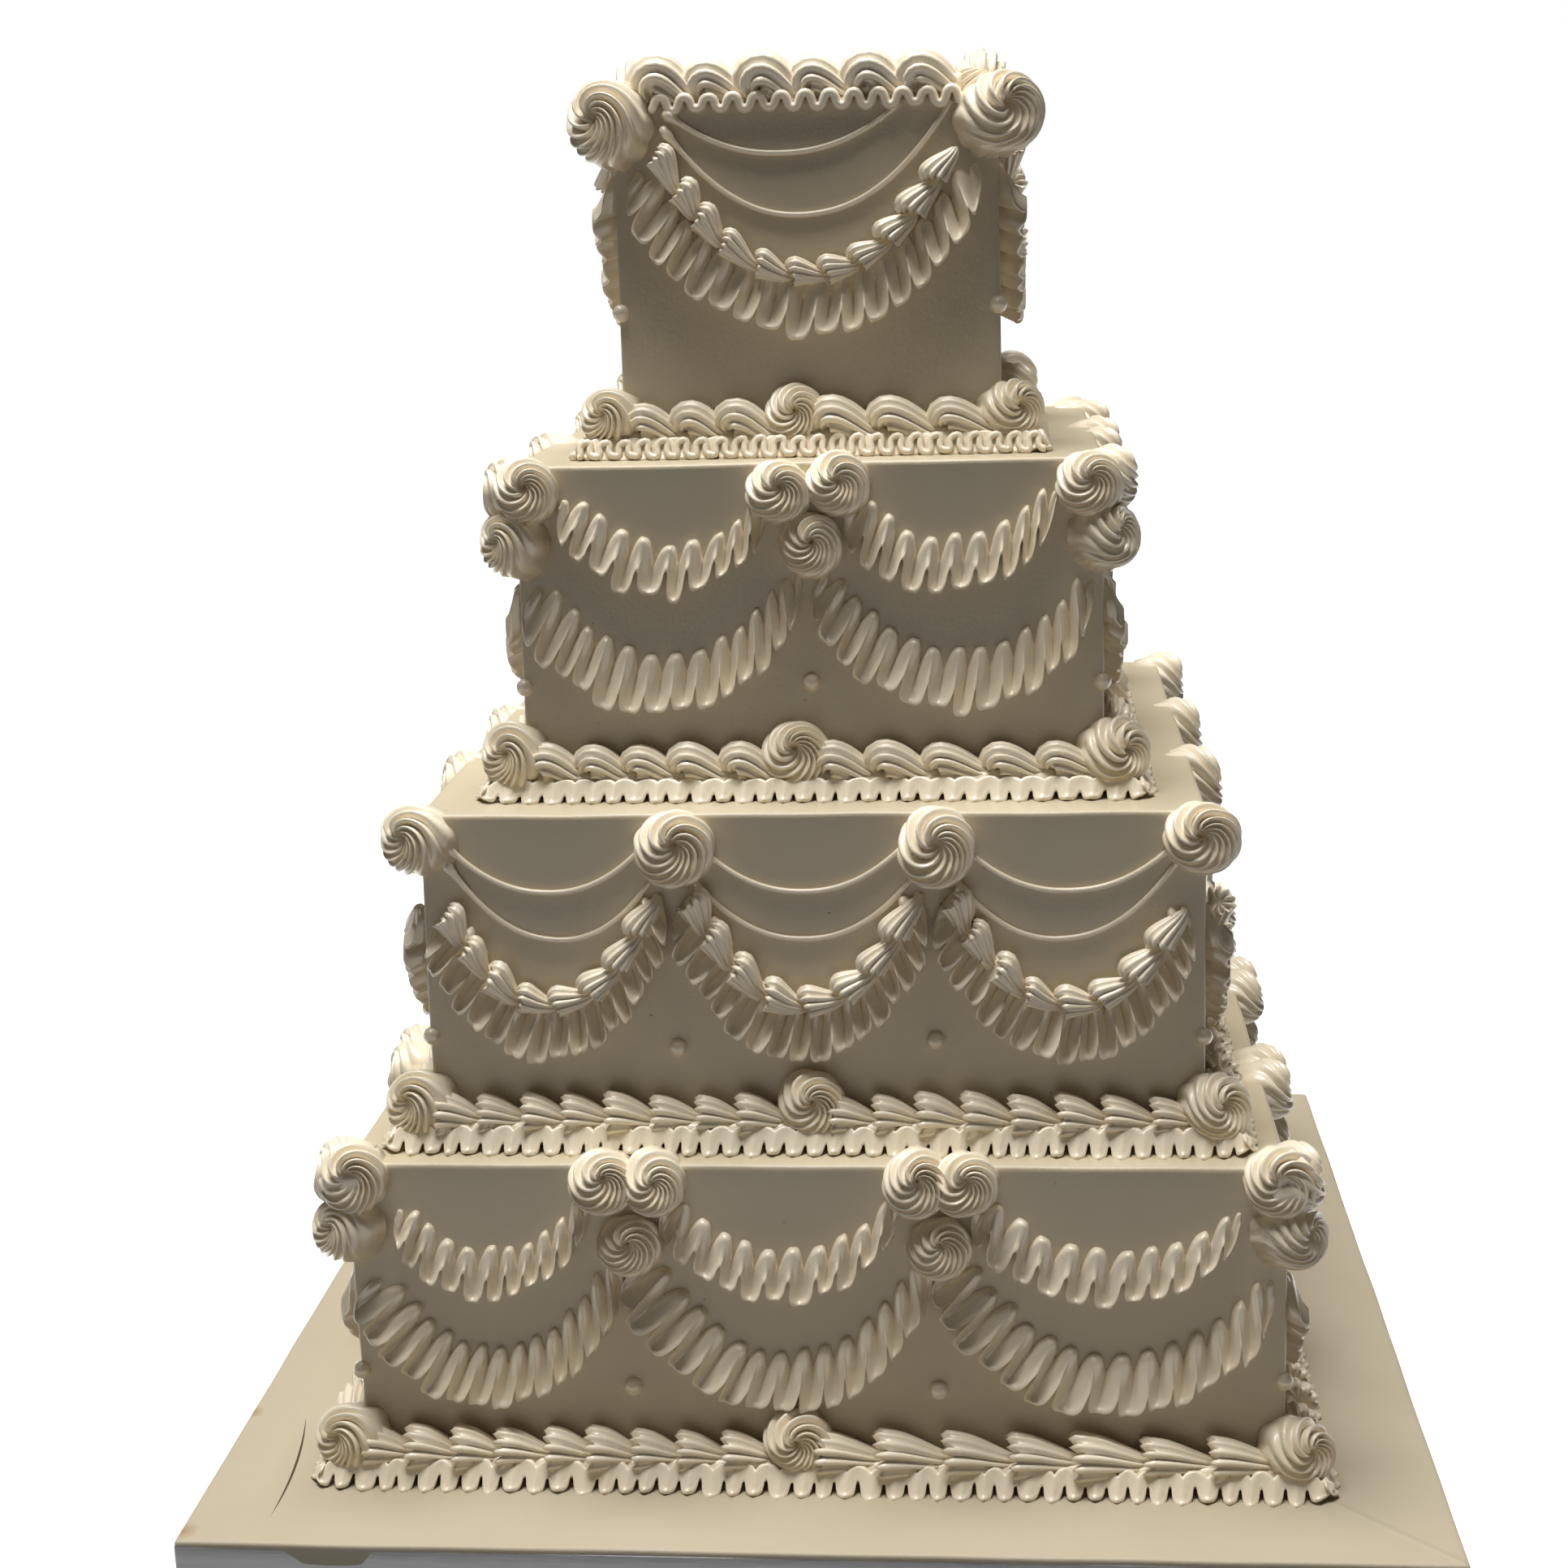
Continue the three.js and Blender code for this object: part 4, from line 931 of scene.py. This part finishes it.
for name, foot, tier, side, side_name, draw in piped_walls(FEET, seed=1100):
    ribbon = {**SKIRT_RIBBON, **SKIRTS[name]}
    half, ledge = tier["width"] / 2, tier["bottom"]
    skirt_ends = (-half - SKIRT_PAST_CORNER, half + SKIRT_PAST_CORNER)
    skirt_out = SKIRT_REACH - 0.5 * ribbon["height"] * SKIRT_DOWN[1]
    skirt_height = ledge - SKIRT_SUNK - 0.5 * ribbon["height"] * SKIRT_DOWN[2]
    skirt_line = level_line(*skirt_ends, skirt_out, skirt_height)
    bed_line = level_line(-half, half, BED_OUT, ledge + BED_RADIUS)
    skirt = ruffle(skirt_line, ribbon, draw, SKIRT_DOWN, SKIRT_OUT)
    parts = [skirt, thread(bed_line, BED_RADIUS, BED_RADIUS)]
    if name == "top":
        rim_sway = swinging(ribbon["folds"], LOOP_SWING, draw, spread=0.2)

        def looped_rim(share):
            swing, turn = rim_sway(share)
            loop = (0.95 * np.sin(2 * turn + 0.5))[:, None] * [1.0, 0, 0]
            return skirt_line(share) + [0, 0.8, 0.4] + loop + swing[:, None] * SKIRT_DOWN

        parts.append(thread(looped_rim, LOOP_RADIUS, LOOP_RADIUS, ribbon["folds"] * LOOP_STEPS + 1))
    left_row = (-half + 4, foot["middle"] - 9, foot["left"])
    right_row = (foot["middle"] + 9, half - 2, foot["right"])
    for first, last, count in (left_row, right_row):
        heads = np.linspace(0, 1, count + 1)
        heads[1:-1] += 0.06 / count * draw.uniform(-1, 1, count - 1)
        row = level_line(first, last, SHELL_OUT, ledge + SHELL_HEIGHT)
        parts.append(shells(row, heads, foot["radius"], 9, draw, foot["form"]))
    knot = tier["top"] - (ledge + KNOT_HEIGHT)
    places = [
        (ON_FRONT, foot["middle"], 1.5, knot, foot["rosette"], 14),
        (TOWARDS_FRONT[side], half + 3.5, 3.5, knot, foot["rosette"], 12),
    ]
    parts.append(rosettes(places, tier, draw))
    make_piping(f"{name}_foot_{side_name}", parts, tier, side, f"{name}_foot_border_{side_name}")


# ==========================================================
# Crown border of the top tier
# Large humped shells lie along the top edge on a bed of icing and lap over it, with a narrow zigzag
# rope of buttercream piped under them on the wall. Two plain threads hang from the edge on each wall.

CROWN_SHELLS = 6
CROWN_RADIUS = 8.8
CROWN_OUT = -6.5
CROWN_LIFT = 4.0
CROWN_BED = (-10.5, 3.0)
ZIGZAG_WAVES = 13
ZIGZAG_SWING = 2.5
ZIGZAG_RADIUS = 1.85
ZIGZAG_STEPS = 14
# Each thread is (left end, right end, low), with its ends as (along, drop).
CROWN_THREADS = [((-55, 4), (38, 3), 21), ((-56, 10), (58, 3), 45)]

tier = TIERS["top"]
half, top = tier["width"] / 2, tier["top"]
crown_line = level_line(-half + 10, half - 16, CROWN_OUT, top + CROWN_LIFT)
crown_bed_line = level_line(-half + 10, half - 14, CROWN_BED[0], top + CROWN_BED[1])
zigzag_line = level_line(-half + 15, half - 13, 0.5, top - 1.0)
for side, side_name in enumerate(SIDES):
    draw = np.random.default_rng(1300 + side)
    heads = np.linspace(0, 1, CROWN_SHELLS + 1)
    humps = shells(crown_line, heads, CROWN_RADIUS, 11, draw, "humped", lift=0.0, around=(-90, 270))
    zigzag_sway = swinging(ZIGZAG_WAVES, ZIGZAG_SWING, draw, spread=0.18)

    def zigzag_path(share):
        swing, turn = zigzag_sway(share)
        return zigzag_line(share) + np.stack([0.45 * np.sin(2 * turn), 0 * turn, -swing], axis=-1)

    zigzag = thread(zigzag_path, ZIGZAG_RADIUS, ZIGZAG_RADIUS, ZIGZAG_WAVES * ZIGZAG_STEPS + 1)
    bed = thread(crown_bed_line, BED_RADIUS, BED_RADIUS)
    hanging = [thread(hanging_line(start, end, low, top), 3.0) for start, end, low in CROWN_THREADS]
    parts = [humps, zigzag, bed, *hanging]
    make_piping(f"top_crown_{side_name}", parts, tier, side, f"top_crown_border_{side_name}")


# ==========================================================
# Floor, light and camera
# Plain pale floor under the cake, a large soft lamp above it and a weak even light from all round.

VIEW_PIXELS = 1932
FOCAL_PIXELS = 3057.7
SHIFT_PIXELS = -100
SENSOR_WIDTH = 36
CAMERA_PLACE = (0.0735, -1.0742, 0.5056)
CAMERA_YAW, CAMERA_PITCH, CAMERA_ROLL = math.radians(5.022), math.radians(11.553), math.radians(-1.619)

bpy.ops.mesh.primitive_plane_add(size=30)
floor = bpy.context.object
floor.name = "studio_floor"
# Matt white paper under even light, which shows almost no shade.
floor_paper = empty_material("pale_studio_paper")
even_light = {"Emission Color": linear("#ffffff"), "Emission Strength": 1.0}
add_surface(floor_paper, {"Base Color": linear("#f2f1ee"), "Roughness": 0.9, **even_light})
floor.data.materials.append(floor_paper)
floor.visible_diffuse = False

lamp_data = bpy.data.lights.new("overhead_softbox", "AREA")
lamp_data.shape = "SQUARE"
lamp_data.size = 1.5
lamp_data.energy = 138
lamp_data.color = (1.0, 0.985, 0.955)
lamp = bpy.data.objects.new("overhead_softbox", lamp_data)
lamp.location = (-0.28, -0.1, 3.2)
lamp.rotation_euler = (math.radians(-2), math.radians(-5), 0)
bpy.context.scene.collection.objects.link(lamp)

# The room's light is warm and weak, while the backdrop that the camera sees is white.
world = bpy.data.worlds.new("even_room_light")
world.use_nodes = True
world.node_tree.nodes.clear()
sky = add_node(world, "Background", {"Color": (1.0, 0.94, 0.82, 1.0), "Strength": 0.075})
backdrop = add_node(world, "Background", {"Color": (1.0, 1.0, 1.0, 1.0), "Strength": 1.0})
seen = add_node(world, "LightPath").outputs["Is Camera Ray"]
both = add_node(world, "MixShader", links={0: seen, 1: sky.outputs[0], 2: backdrop.outputs[0]})
add_node(world, "OutputWorld", links={"Surface": both.outputs[0]})
bpy.context.scene.world = world

camera_data = bpy.data.cameras.new("camera")
camera_data.sensor_width = SENSOR_WIDTH
camera_data.lens = FOCAL_PIXELS / VIEW_PIXELS * SENSOR_WIDTH
camera_data.shift_y = SHIFT_PIXELS / VIEW_PIXELS
camera_data.clip_start = 0.05
camera_data.clip_end = 100
camera = bpy.data.objects.new("camera", camera_data)
level = np.array([math.cos(CAMERA_YAW), math.sin(CAMERA_YAW), 0.0])
ahead = np.array([-level[1], level[0], 0.0]) * math.cos(CAMERA_PITCH) - [0.0, 0.0, math.sin(CAMERA_PITCH)]
upright = np.cross(level, ahead)
right = level * math.cos(CAMERA_ROLL) + upright * math.sin(CAMERA_ROLL)
above = -level * math.sin(CAMERA_ROLL) + upright * math.cos(CAMERA_ROLL)
camera.matrix_world = Matrix([*np.column_stack([right, above, -ahead, CAMERA_PLACE]).tolist(), [0, 0, 0, 1]])
bpy.context.scene.collection.objects.link(camera)
bpy.context.scene.camera = camera
bpy.context.scene.view_settings.view_transform = "Standard"

bpy.context.view_layer.update()
